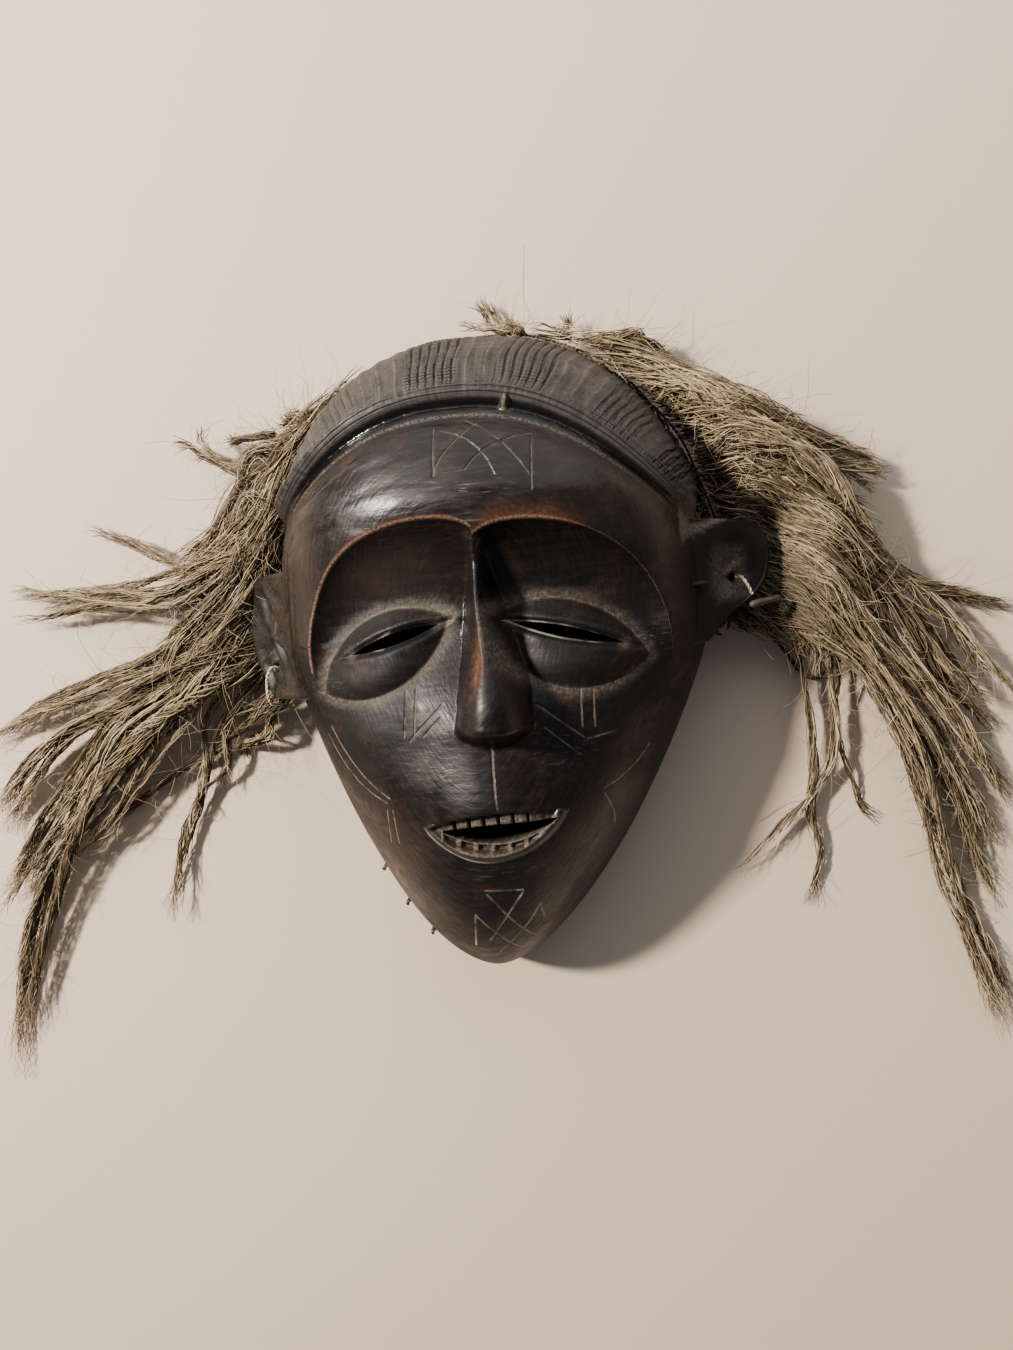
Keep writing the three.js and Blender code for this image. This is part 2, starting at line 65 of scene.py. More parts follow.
def smooth(start, end, value):
    """0 up to the start, 1 from the end on, and a soft rise between them."""
    share = np.clip((np.asarray(value, float) - start) / (end - start), 0, 1)
    return share * share * (3 - 2 * share)


def to_metres(points):
    return np.asarray(points, float) / 1000 + np.array([to_table_x, to_table_y, 0])


def lean(y):
    """The carver's axis isn't quite straight: the sideways shift of the middle at each level."""
    return -6 * (1 - smooth(-112, 20, y)) - 2 * (1 - smooth(-118, -60, y)) - 2 * smooth(60, 130, y)


def measure_rim():
    """The rim's reach in each direction, found by halving between the middle and far outside."""
    turns = np.linspace(-math.pi, math.pi, 2881)
    across = np.abs(np.cos(turns)) / HALF_WIDTH
    above = np.abs(np.sin(turns)) / CROWN_REACH
    below = np.abs(np.sin(turns)) / CHIN_REACH
    low = np.ones_like(turns)
    high = low + CROWN_REACH + CHIN_REACH
    for _ in range(40):
        middle = (low + high) / 2
        crown = (middle * across) ** CROWN_FULLNESS + (middle * above) ** CROWN_FULLNESS
        jaw = (middle * across) ** JAW_FULLNESS[0] + (middle * below) ** JAW_FULLNESS[1]
        inside = np.where(turns > 0, crown, jaw) < 1
        low = np.where(inside, middle, low)
        high = np.where(inside, high, middle)
    return turns, low


rim_turns, rim_reaches = measure_rim()


def rim_reach(turn):
    return np.interp(np.arctan2(np.sin(turn), np.cos(turn)), rim_turns, rim_reaches)


def dome_height(out):
    return np.clip(1 - np.clip(out, 0, 1) ** DOME_FULLNESS[0], 0, 1) ** (1 / DOME_FULLNESS[1])


def measure_dome():
    """The dome's outline from the top to the rim: its way along the surface, reach outwards and height."""
    flat = np.linspace(0, 0.9, 400)
    steep = np.linspace(dome_height(0.9), 0, 400)
    out = np.concatenate([flat, (1 - steep[1:] ** DOME_FULLNESS[1]) ** (1 / DOME_FULLNESS[0])])
    height = np.concatenate([dome_height(flat), steep[1:]])
    length = np.hypot(np.diff(out * MEAN_REACH), np.diff(height * MEAN_RISE))
    way = np.concatenate([[0], np.cumsum(length)])
    return way / way[-1], out, height


dome_way, dome_out, dome_level = measure_dome()


def way_at(out):
    return np.interp(out, dome_out, dome_way)


def out_at(way):
    return np.interp(way, dome_way, dome_out)


def dome_point(turn, way, inset=0, sink=0):
    reach = out_at(way) * (rim_reach(turn) - inset)
    y = WAIST_Y + reach * np.sin(turn)
    x = reach * np.cos(turn) + lean(y)
    top = CHEEK_HEIGHT + FOREHEAD_RISE * smooth(30, 60, y) - sink
    return np.stack([x, y, top * np.interp(way, dome_way, dome_level)], -1)


def unit(vectors):
    return vectors / np.maximum(np.linalg.norm(vectors, axis=-1, keepdims=True), 1e-9)


def dome_normal(turn, way):
    step = 0.002
    inner = np.minimum(way, 1 - step)
    here = dome_point(turn, inner)
    outward = dome_point(turn, inner + step) - here
    around = dome_point(turn + step, inner) - here
    return unit(np.cross(outward, around))


# The face: brow arches over deep sockets, almond eyes with slit openings, a long nose and an open mouth.
# All of it is cut with adze and knife into the same block.
# A lens is the almond between two bows, given by its ends and its heights above and below their line.
BROW_MIDDLE_X = 4
BROW_RISE = 47
BROW_FEET = (12, 9.5)
BROW_SPANS = (65, 63.5)
SOCKET_DEPTH = 13
EYES = (
    {"ends": ((-57, 2), (-9.5, 26)), "above": 14, "below": 12.5},
    {"ends": ((6.5, 25), (59, 7)), "above": 12, "below": 17},
)
EYE_BULGE = 5.8
SLITS = (
    {"ends": ((-44.5, 15), (-13, 23.5)), "above": 2.1, "below": 1.9},
    {"ends": ((13, 22.4), (51, 12)), "above": 2, "below": 1.7},
)
MOUTH = {"ends": ((-22.5, -46.4), (28, -43.4)), "above": 4, "below": 14.4}
MOUTH_HOLLOW = {"ends": ((-20.5, -46.2), (26, -43.6)), "above": 3.6, "below": 11.6}
MOUTH_SLOT = {"ends": ((-16, -47.6), (24.5, -45.4)), "above": 0.3, "below": 6.4}
MOUTH_FLOOR = 86
MOUTH_SLOPE = math.tan(math.radians(14))
UPPER_TEETH = 8
LOWER_TEETH = 7
TOOTH_HEIGHT = 2.2
RIDGE_HEIGHT = 93


def mound(x, y, middle, reach):
    return np.exp(-(((x - middle[0]) / reach[0]) ** 2) - ((y - middle[1]) / reach[1]) ** 2)


def inside_lens(lens, x, y):
    """Distances inside the upper and the lower bow of a lens, below 0 outside."""
    (x0, y0), (x1, y1) = lens["ends"]
    half = math.hypot(x1 - x0, y1 - y0) / 2
    along_x, along_y = (x1 - x0) / (2 * half), (y1 - y0) / (2 * half)
    dx, dy = x - (x0 + x1) / 2, y - (y0 + y1) / 2
    along = dx * along_x + dy * along_y
    over = dy * along_x - dx * along_y
    upper_radius = (half**2 + lens["above"] ** 2) / (2 * lens["above"])
    lower_radius = (half**2 + lens["below"] ** 2) / (2 * lens["below"])
    upper = upper_radius - np.hypot(along, over - lens["above"] + upper_radius)
    lower = lower_radius - np.hypot(along, over + lens["below"] - lower_radius)
    return upper, lower


def inset_in(lens, x, y):
    return np.minimum(*inside_lens(lens, x, y))


def by_eye(x, left, right):
    """One value on the left eye's side of the face and another on the right eye's."""
    return np.where(x < BROW_MIDDLE_X, left, right)


def inside_socket(x, y):
    """Distance inside the brow's edge, below 0 outside."""
    out = np.abs(x - BROW_MIDDLE_X)
    up = np.maximum(0, y + 5 * np.exp(-out / 6) - by_eye(x, *BROW_FEET))
    size = (out / by_eye(x, *BROW_SPANS)) ** 3 + (up / BROW_RISE) ** 2
    return 52 * (1 - size**0.4)


def socket_depth(x, y):
    inset = inside_socket(x, y)
    soft = (inset + np.hypot(inset, 0.3)) / 2
    return smooth(-16, 26, y) * SOCKET_DEPTH * (1 - np.exp(-soft / 6.5))


def eyelid_height(x, y):
    """Both eyes bulge out of their sockets, and each slit has a raised and then rounded edge."""
    bulges = []
    for lens in EYES:
        upper, lower = inside_lens(lens, x, y)
        full = min(lens["above"], lens["below"])
        share = 2 * upper * lower / np.maximum((upper + lower) * full, 1e-6)
        bulge = EYE_BULGE * np.clip(share, 0, 1) ** 0.95
        bulges.append(np.where(np.minimum(upper, lower) > 0, bulge, 0))
    height = by_eye(x, *bulges)
    for slit in SLITS:
        inset = inset_in(slit, x, y)
        height += 0.5 * smooth(-4.4, -2.5, inset) - 2.2 * smooth(-2.4, 0.2, inset) ** 1.2
    return height


def lip_height(x, y):
    """A full mouth, hollow cheeks beside the nose and a raised rim round the lower lip."""
    lips = 6 * mound(x, y, (3, -45), (24, 19))
    hollows = 1.6 * mound(np.abs(x - 4), y, (27, -14), (10, 13))
    upper, lower = inside_lens(MOUTH, x, y)
    rim = 1.8 * np.sin(np.pi * np.clip(lower / 4.2, 0, 1))
    return lips - hollows + np.where(upper > 0, rim, 0)


def nose_shape(x, y):
    """The ridge's height, the share of the way from it to the nose's side, and the fading at both ends."""
    rise = 6 * smooth(44, 22, y) + 10 * smooth(24, -8, y) * smooth(-18.5, -12, y)
    ridge = RIDGE_HEIGHT + 3 * smooth(44, 53, y) + rise
    drawn_in = smooth(6, -12, y)
    middle = 3.5 + 3 * smooth(38, -8, y) - 0.6 * drawn_in
    half = 3.2 + 11.3 * np.clip((46 - y) / 54, 0, 1.1) - 1.7 * drawn_in
    off = np.abs(x - middle) / half
    tip = y - 5.5 * np.clip(off, 0, 1) ** 2
    end = smooth(-20, -14.5, tip) ** 0.7 * smooth(56, 48, y)
    return ridge, off, end


def teeth_height(x, y):
    """How high both rows of teeth stand over the mouth's floor, and where the cuts between them are."""
    (x0, y0), (x1, y1) = MOUTH_SLOT["ends"]
    share = np.clip((x - x0) / (x1 - x0), 0, 1)
    chord = y0 + (y1 - y0) * share
    bow = 1 - (2 * share - 1) ** 2
    within = (share > 0) & (share < 1)

    def row(count, gap, up, tall):
        cell = (share * count) % 1
        tooth = smooth(gap - 0.05, gap + 0.05, cell) * smooth(1.05 - gap, 0.95 - gap, cell)
        reach = smooth(-0.3, 0.4, up) * smooth(tall + 0.4, tall - 0.4, up) * within
        return reach * tooth, reach * (1 - tooth)

    teeth, cuts = row(UPPER_TEETH, 0.08, y - chord - MOUTH_SLOT["above"] * bow, 5.0)
    under = chord - MOUTH_SLOT["below"] * bow - y
    pits, bars = row(LOWER_TEETH, 0.15, under - 0.6, 2.6)
    edge = smooth(-0.3, 0.2, under) * smooth(0.9, 0.4, under) * within
    height = np.maximum(TOOTH_HEIGHT * teeth, 1.5 * np.maximum(bars, edge))
    return height, np.maximum(cuts, 0.72 * pits)


# The ornament is scratched in with a knife point: lozenges on forehead and chin, strokes on the cheeks.
# Each stroke runs through two or three points and is a shallow groove with dust in it.
STROKES = {
    "forehead": (
        ((-6.9, 88), (-7.1, 71.3)),
        ((25.5, 82.5), (24.7, 64.4)),
        ((-7.1, 71.3), (-3.2, 79.3), (7.5, 88.5)),
        ((3.5, 90), (14.5, 82.3), (24.3, 69.5)),
        ((-4.9, 87.1), (6.2, 81.3), (13, 70.3)),
        ((3.3, 72.9), (12.5, 80.5), (25.5, 83.6)),
    ),
    "chin": (
        ((-3.9, -70.7), (9.1, -72.2)),
        ((-3.5, -72.4), (9.5, -96.2)),
        ((9, -73), (-6, -93.5)),
        ((-9.2, -81.1), (4.3, -101.9)),
        ((13.9, -79.9), (6.5, -90.5), (-4, -100.9)),
        ((-9.2, -81.1), (-11.9, -96.2)),
        ((13.9, -79.9), (14.3, -89.9)),
    ),
    "left cheek": (
        ((-24.7, 1.5), (-26.4, -14.3)),
        ((-21.1, 2), (-22.8, -15.1)),
        ((-59.4, -13.3), (-50.2, -28.5), (-36.5, -38.2)),
        ((-56.6, -10.3), (-47.2, -26), (-35, -36.3)),
        ((-37, -40.9), (-38.1, -53.7)),
        ((-34.5, -40.8), (-34.5, -53.4)),
        ((-24.6, -15.9), (-12.1, -4.1)),
        ((-19.2, -14.3), (-12.7, -8.2)),
    ),
    "right cheek": (
        ((35, -2.2), (34.6, -14.8)),
        ((39.2, -2.6), (38.8, -15.3)),
        ((20.4, -6), (35.7, -19.4)),
        ((22.4, -14), (33.2, -24.4)),
        ((35.7, -19.4), (47.1, -17.6)),
        ((40.4, -38.6), (50, -33), (57.2, -25.3)),
        ((40.2, -40.5), (42.5, -48), (42.5, -54)),
    ),
    "lip": (((4.3, -18.4), (4.2, -30), (4.6, -39.8)),),
}
STROKE_HALF_WIDTH = 0.42
STROKE_DEPTH = 0.33


def from_segment(x, y, start, end):
    (x0, y0), (x1, y1) = start, end
    length = math.hypot(x1 - x0, y1 - y0)
    along = np.clip(((x - x0) * (x1 - x0) + (y - y0) * (y1 - y0)) / length**2, 0, 1)
    return np.hypot(x - x0 - along * (x1 - x0), y - y0 - along * (y1 - y0))


def through(points, steps=6):
    """A bowed line through three points, or the straight one between two."""
    if len(points) == 2:
        return points
    first, middle, last = (np.array(point, float) for point in points)
    bend = 2 * middle - (first + last) / 2
    share = np.linspace(0, 1, steps)[:, None]
    return first * (1 - share) ** 2 + 2 * bend * share * (1 - share) + last * share**2


def from_strokes(x, y):
    """Distance to the nearest stroke."""
    nearest = np.full(np.shape(x), 50.0)
    for strokes in STROKES.values():
        for points in strokes:
            route = through(points)
            for start, end in zip(route, route[1:]):
                nearest = np.minimum(nearest, from_segment(x, y, start, end))
    return nearest


def shallow_strokes_and_painted_light(x, y):
    """The right of the chin and of the jaw, where the strokes are shallow and full of dust, and the dust is
    painted paler as painted light on that shaded side.
    """
    chin = np.maximum(smooth(-2, 8, x), smooth(-90, -97, y)) * smooth(-62, -70, y)
    jaw = 0.55 * smooth(34, 42, x) * smooth(-16, -24, y)
    return np.maximum(chin, jaw)


# The headband is carved proud over the forehead, from ear to ear.
# Below it runs a hollow with a crisp worn edge, then two beads, then wide flutes and panels of grid.
# A panel has its start and end in degrees round the dome and the strength of its cuts.
BAND_MIDDLE = math.radians(87)
BAND_HALF_SPAN = math.radians(61)
BAND_PROUD = 4
BEAD_PROUD = 5.1
WAY_TO_RIM = 150
AROUND_TO_A_DEGREE = 1.42
GRID_PANELS = (
    (88.5, 100.5, 1),
    (68.5, 80.5, 0.8),
    (46.5, 58, 0.7),
    (33.5, 41.5, 1.3),
    (112, 122, 0.4),
    (131, 138, 0.3),
)
FLUTE_PITCH = 5.6
GRID_PITCH_AROUND = 2.6
GRID_PITCH_UP = 1.8
NIB_AROUND = 109
NIB_HEIGHT = 4.5
CHIP_AROUND = 143.5


def hump(value, middle, width):
    return np.exp(-(((value - middle) / width) ** 2))


def band_offset(turn):
    return np.abs(np.arctan2(np.sin(turn - BAND_MIDDLE), np.cos(turn - BAND_MIDDLE))) / BAND_HALF_SPAN


def crease_way(turn):
    """Where the band's hollow begins, as a share of the way to the rim."""
    return way_at(0.655 + 0.245 * np.minimum(1, band_offset(turn)) ** 2.5)


def bead_way(turn):
    return way_at(0.708 + 0.237 * np.minimum(1, band_offset(turn)) ** 2.6)


def band_strength(turn):
    return 1 - smooth(0.9, 1.02, band_offset(turn))


def in_panel(turn):
    degrees = np.degrees(turn) % 360
    inside = np.zeros_like(degrees)
    for start, end, strength in GRID_PANELS:
        panel = smooth(start - 0.6, start + 0.6, degrees) * smooth(end + 0.6, end - 0.6, degrees)
        inside = np.maximum(inside, strength * panel)
    return inside


def groove(position, pitch, width):
    """1 on evenly spaced lines and 0 between them."""
    nearest = np.abs((position / pitch + 0.5) % 1 - 0.5) * pitch
    return smooth(width, 0, nearest)


def band_lines(turn, way):
    """Places along and up the band that the scored lines follow, hand-drawn and so a little wavy."""
    over_bead = (way - bead_way(turn)) * WAY_TO_RIM
    around = np.degrees(turn) * AROUND_TO_A_DEGREE
    waver = 0.35 * np.sin(over_bead / 5 + around / 9)
    return around + waver, over_bead + 0.3 * np.sin(around / 2.1), over_bead


def band_lift(turn, way):
    """How far the surface stands over the plain dome from the crease upwards."""
    crease, bead = crease_way(turn), bead_way(turn)
    upright, rung, over_bead = band_lines(turn, way)
    cove = np.clip((way - crease) / (bead - crease), 0, 1)
    hollow = BEAD_PROUD * smooth(0.42, 1, cove) ** 1.2 - 1.3 * np.sin(np.pi * np.clip(cove / 0.66, 0, 1))
    nib = NIB_HEIGHT * hump(upright, NIB_AROUND, 1.2) * smooth(-4.6, -2.6, over_bead)
    first_bead = np.clip(1 - ((over_bead - 0.8) / 0.8) ** 2, 0, 1) ** 0.5
    second_bead = np.clip(1 - ((over_bead - 2.7) / 0.9) ** 2, 0, 1) ** 0.5
    chipped = 1 - 0.7 * hump(upright, CHIP_AROUND, 3.4) * (0.6 + 0.4 * np.sin(1.9 * upright))
    beads = np.where(over_bead < 3.8, 1.05 * chipped * (first_bead + second_bead), 0)
    panel = in_panel(turn)
    wavy = smooth(60, 20, upright)
    rib = np.abs(np.sin(np.pi * (upright + 0.3 * wavy * np.sin(over_bead / 3)) / FLUTE_PITCH))
    flute = (0.55 + 0.3 * wavy) * rib * (1 - np.minimum(1, 1.6 * panel))
    grid = panel * (0.7 * groove(upright, GRID_PITCH_AROUND, 0.55) + 0.4 * groove(rung, GRID_PITCH_UP, 0.5))
    plain = BAND_PROUD + (BEAD_PROUD - BAND_PROUD) * smooth(2.4, 0.2, over_bead)
    band = plain + beads - smooth(4.6, 6.4, over_bead) * (flute + grid)
    return np.where(way < bead, np.maximum(hollow, nib), band)


def face_point(turn, way):
    """The finished outer surface at a direction from the middle and a share of the way to the rim."""
    point = dome_point(turn, way)
    x, y = point[:, 0], point[:, 1]
    fade = 1 - smooth(0.88, 0.98, out_at(way))
    crease = crease_way(turn)
    relief = eyelid_height(x, y) + lip_height(x, y) - socket_depth(x, y)
    forehead = 2 * smooth(56, 66, y) * smooth(0.99, 0.9, out_at(way) / out_at(crease))
    below_crease = (crease - way) * WAY_TO_RIM
    folded = smooth(0, 4, below_crease) * smooth(30, 14, below_crease) * smooth(-10, -35, x)
    folded = folded * smooth(10, 40, y) * smooth(-0.5, -3, inside_socket(x, y))
    folds = 0.7 * np.sin(below_crease * 2 * np.pi / 6.5) * folded
    surface = point[:, 2] + fade * (relief + forehead) + folds
    ridge, off, end = nose_shape(x, y)
    nose_side = 1 - np.clip(off, 0, 1) ** (1.5 + 0.9 * smooth(14, -4, y))
    nose = surface + np.maximum(0, ridge - surface) * end * nose_side
    surface = np.where(off < 1, nose, surface)
    inset = inset_in(MOUTH_HOLLOW, x, y)
    floor = MOUTH_FLOOR + (y - MOUTH["ends"][0][1]) * MOUTH_SLOPE + teeth_height(x, y)[0]
    surface = surface + (np.minimum(floor, surface) - surface) * smooth(0, 1.4, inset)
    knife_cuts = 0.07 * np.sin(x / 2.6 + 1.7 * np.sin(y / 7.5)) * np.sin(y / 3.4 + 1.5 * np.sin(x / 6.2))
    surface = surface + fade * knife_cuts * smooth(0, -2, inset)
    strokes = STROKE_DEPTH * smooth(STROKE_HALF_WIDTH, 0, from_strokes(x, y))
    point[:, 2] = surface - strokes * (1 - 0.65 * shallow_strokes_and_painted_light(x, y))
    strength = band_strength(turn) * (way > crease) * smooth(12, 24, point[:, 2])
    return point + dome_normal(turn, way) * (band_lift(turn, way) * strength)[:, None]


def wanted_cell(turn, way):
    """The size of mesh cell in mm that the carving needs at each place."""
    point = dome_point(turn, way)
    x, y, z = point.T
    front = z > 25
    cell = np.where(front, 3.15, 5.4)

    def fine_near(distance, fine, reach):
        return np.where(front, np.maximum(fine, fine + 0.55 * (np.abs(distance) - reach)), 9)

    lines = [fine_near(inside_socket(x, y) + 0.3, 0.6, 1.0) + 3 * (y < 8)]
    lines += [fine_near(inset_in(lens, x, y), 0.75, 0.6) for lens in EYES]
    lines += [fine_near(inset_in(lens, x, y), 0.6, 1.6) for lens in SLITS]
    lines.append(fine_near(np.minimum(0, inset_in(MOUTH, x, y)), 0.62, 0.6))
    lines.append(fine_near(from_strokes(x, y), 0.5, 0.5))
    cell = np.minimum(cell, np.min(lines, axis=0))
    nose = (nose_shape(x, y)[1] < 1.4) & (y < 50) & (y > -24)
    over_bead = (way - bead_way(turn)) * WAY_TO_RIM
    over_crease = (way - crease_way(turn)) * WAY_TO_RIM
    banded = band_strength(turn) > 0.02
    edges = (over_crease > -1.5) & (over_bead < 5) & banded & front
    flutes = (over_bead >= 5) & banded & (z > 14)
    panels = flutes & (in_panel(turn) > 0.35) & (z > 40)
    for place, size in ((nose, 1.15), (edges, 0.82), (flutes, 1.5), (panels, 0.72)):
        cell = np.where(place, np.minimum(cell, size), cell)
    return cell


def from_square(across, up):
    """A square sheet's place on the dome: the direction from its middle and the share of the way out."""
    dx = across * np.sqrt(1 - up**2 / 2)
    dy = up * np.sqrt(1 - across**2 / 2)
    return np.arctan2(dy, dx), np.clip(np.hypot(dx, dy), 0, 1)


# The sheet is laid over the dome in cells that are split where the carving is fine.
# The widest cell is 32 parts of the sheet's 1024 and the finest is one.
SHEET = 1024
WIDEST_CELL = 32
HOLLOW_CELL = 3.8


def carve_sheet(place, wanted):
    """A sheet of cells that are split until each is as small as the carving needs."""
    size = WIDEST_CELL
    corner = np.arange(0, SHEET, size)
    cells = np.stack(np.meshgrid(corner, corner, indexing="ij"), -1).reshape(-1, 2)
    done = []
    while size > 1:
        ends = np.array([[0, 0], [size, 0], [size, size], [0, size]])
        corners = (cells[:, None, :] + ends).reshape(-1, 2) / SHEET * 2 - 1
        spots = place(*from_square(*corners.T)).reshape(-1, 4, 3)
        longest = np.max(np.linalg.norm(spots - np.roll(spots, 1, axis=1), axis=2), axis=1)
        middles = (cells + size / 2) / SHEET * 2 - 1
        split = longest > wanted(*from_square(*middles.T)) * 1.25
        done.append((size, cells[~split]))
        size //= 2
        quarters = np.array([[0, 0], [size, 0], [0, size], [size, size]])
        cells = (cells[split][:, None, :] + quarters).reshape(-1, 2)
    done.append((size, cells))
    return done


def sheet_mesh(cells, place):
    """Corner points and faces of the sheet; a large cell takes in the corners of its smaller neighbours."""
    used = np.zeros((SHEET + 1, SHEET + 1), bool)
    for size, corners in cells:
        for dx, dy in ((0, 0), (size, 0), (size, size), (0, size)):
            used[corners[:, 0] + dx, corners[:, 1] + dy] = True
    spots = np.argwhere(used)
    number = np.full(used.shape, -1, np.int64)
    number[used] = np.arange(len(spots))
    faces = []
    for size, corners in cells:
        for i, j in corners.tolist():
            bottom = number[i : i + size, j]
            right = number[i + size, j : j + size]
            top = number[i + 1 : i + size + 1, j + size][::-1]
            left = number[i, j + 1 : j + size + 1][::-1]
            loop = np.concatenate([bottom, right, top, left])
            faces.append(loop[loop >= 0].tolist())
    sides = [number[:SHEET, 0], number[SHEET, :SHEET], number[:0:-1, SHEET], number[0, :0:-1]]
    border = np.concatenate(sides)
    flat = spots / SHEET * 2 - 1
    return place(*from_square(*flat.T)), faces, border[border >= 0].tolist()


def hollow_point(turn, way):
    """The inside, left from the adze: shallow dished cuts over the smooth hollow."""
    point = dome_point(turn, way, RIM_WIDTH, WALL)
    x, y = point[:, 0], point[:, 1]
    point[:, 2] -= (1 - smooth(0.8, 0.98, out_at(way))) * socket_depth(x, y)
    cuts = np.sin(x / 5.2 + 1.3 * np.sin(y / 9)) * np.sin(y / 6.1 + 0.9 * np.sin(x / 8))
    point[:, 2] += 0.55 * cuts * smooth(3, 20, point[:, 2])
    return point


def bridge(inner, outer):
    """Triangles between two loops of unlike length that start at the same corner."""
    faces = []
    a = b = 0
    while a < len(inner) or b < len(outer):
        here, there = inner[a % len(inner)], outer[b % len(outer)]
        if b < len(outer) and (a >= len(inner) or (b + 1) * len(inner) <= (a + 1) * len(outer)):
            b += 1
            faces.append([here, there, outer[b % len(outer)]])
        else:
            a += 1
            faces.append([here, there, inner[a % len(inner)]])
    return faces


def new_object(name, points, faces):
    mesh = bpy.data.meshes.new(name)
    mesh.from_pydata(to_metres(points), [], faces)
    mesh.update()
    mesh.shade_smooth()
    piece = bpy.data.objects.new(name, mesh)
    bpy.context.scene.collection.objects.link(piece)
    return piece


def block():
    outside, outside_faces, outside_rim = sheet_mesh(carve_sheet(face_point, wanted_cell), face_point)
    even = carve_sheet(hollow_point, lambda turn, way: np.full_like(way, HOLLOW_CELL))
    inside, inside_faces, inside_rim = sheet_mesh(even, hollow_point)
    start = len(outside)
    inside_faces = [[start + corner for corner in face[::-1]] for face in inside_faces]
    rim = bridge(outside_rim, [start + corner for corner in inside_rim])
    return new_object("carved_mask", np.concatenate([outside, inside]), outside_faces + inside_faces + rim)


# The ears are plates left standing at the temples, thick at the root and thin at the outer edge.
# Their fronts are dished and left rough from the gouge, and each is bored for a string.
# Out, up and forward are an ear's own directions, from its root.
EARS = (
    {
        "side": -1,
        "root": (-72, 24, 55),
        "sweep": math.radians(45),
        "reach": 38,
        "top": 24,
        "bottom": -25,
        "lobe": 23,
        "hole": (20.5, -12.5),
    },
    {
        "side": 1,
        "root": (74, 34, 49),
        "sweep": math.radians(35),
        "reach": 41.5,
        "top": 20.5,
        "bottom": -25,
        "lobe": 10,
        "hole": (25.6, -1.6),
    },
)
EAR_ROOT_DEPTH = 8
EAR_FACE = 0.6
EAR_THICKNESS = 7.4
EAR_RINGS = (0.06, 0.2, 0.34, 0.48, 0.6, 0.7, 0.79, 0.86, 0.92, 0.965)
EAR_HOLE_RADIUS = 1.9
LUMP_PLACE = (4.5, -3.6, 1.6)
LUMP_RADII = (5, 2, 3)
LUMP_TURN = 0.05
LACING_TURNS = (242, 250, 256.5)
LACING_HEIGHT = 7
LACING_HOLE_RADIUS = 1.6
CUTTER_LEVELS = (40, 125)


def beside_rim(turn, distance, height):
    """A place at a distance outside the rim."""
    reach = rim_reach(turn) + distance
    y = WAIST_Y + reach * np.sin(turn)
    return np.stack([reach * np.cos(turn) + lean(y), y, height], -1)


def ear_place(ear, points):
    """Turns out, up and forward distances at an ear into a place on the mask."""
    side, sweep = ear["side"], ear["sweep"]
    points = np.asarray(points, float)
    outwards = points[..., :1] * np.array([side * math.cos(sweep), 0, -math.sin(sweep)])
    forwards = points[..., 2:] * np.array([side * math.sin(sweep), 0, math.cos(sweep)])
    return np.array(ear["root"]) + outwards + points[..., 1:2] * [0, 1, 0] + forwards


def bezier(points, count):
    """Points along a curve with the given pull points, without the last one."""
    share = np.linspace(0, 1, count, endpoint=False)[:, None]
    degree = len(points) - 1
    curve = np.zeros((count, 2))
    for step, point in enumerate(points):
        pull = math.comb(degree, step) * (1 - share) ** (degree - step) * share**step
        curve += pull * np.array(point, float)
    return curve


def ear_outline(ear):
    reach, top, bottom, lobe = ear["reach"], ear["top"], ear["bottom"], ear["lobe"]
    sides = [
        bezier([(-EAR_ROOT_DEPTH, top + 1), (0.6 * reach, top)], 18),
        bezier([(0.6 * reach, top), (reach, top), (reach, 0.4 * top)], 14),
        bezier([(reach, 0.4 * top), (reach, 0.5 * bottom), (lobe + 9, 0.4 * bottom), (lobe, bottom)], 26),
        bezier([(lobe, bottom), (-EAR_ROOT_DEPTH, bottom)], 12),
        bezier([(-EAR_ROOT_DEPTH, bottom), (-EAR_ROOT_DEPTH, top + 1)], 14),
    ]
    outline = np.concatenate(sides)
    for _ in range(2):
        outline = (np.roll(outline, 1, axis=0) + 2 * outline + np.roll(outline, -1, axis=0)) / 4
    return outline


def gouge_marks(ear, out, up):
    """Ridges between the gouge cuts inside the ear."""
    if ear["side"] > 0:
        fan = np.sin(up - 0.45 * out + 1.3 * np.sin(out / 5)) * smooth(14, 18, out) * smooth(34, 28, out)
        return 0.6 * fan * smooth(-8, -2, up) * smooth(10, 6, up)
    zigzag = np.abs(((out - 14 + 0.45 * up) / 7) % 2 - 1) * 7
    cuts = 0.75 * np.sin((zigzag + up) / 1.5) + 0.5 * np.sin((1.3 * out - 0.8 * up) / 1.9)
    return cuts * smooth(1, 6, out) * smooth(34, 24, out) * smooth(-24, -16, up) * smooth(23, 16, up)


def over_ridge(out, up):
    """The height over the ridge that runs out across the top of the right ear."""
    return up - (13.5 + 0.33 * out)


def ear_front(ear, flat, share):
    """How far the front stands forward at a share of the way from the ear's middle to its edge."""
    out, up = flat.T
    marks = gouge_marks(ear, out, up) * smooth(0.02, 0.2, 1 - share)
    if ear["side"] < 0:
        return EAR_FACE - 1.6 * smooth(0, 0.42, 1 - share) * smooth(-4, 9, out) + marks
    over = over_ridge(out, up)
    fold = smooth(40, 30, out) * (1.2 * smooth(-6, 0, over) - 0.75 * np.maximum(0, over))
    return EAR_FACE + fold - 4.6 * mound(out, up, (22, 2), (13, 10)) + marks


def skin(name, rings, flipped=False):
    """A closed skin over rings of points that follow one another, capped at both ends."""
    count = len(rings[0])
    number = np.arange(len(rings) * count).reshape(-1, count)
    after = np.roll(number, -1, axis=1)
    faces = np.stack([number[:-1], number[1:], after[1:], after[:-1]], -1).reshape(-1, 4).tolist()
    faces += [number[0].tolist(), number[-1, ::-1].tolist()]
    if flipped:
        faces = [face[::-1] for face in faces]
    return new_object(name, np.vstack(rings), faces)


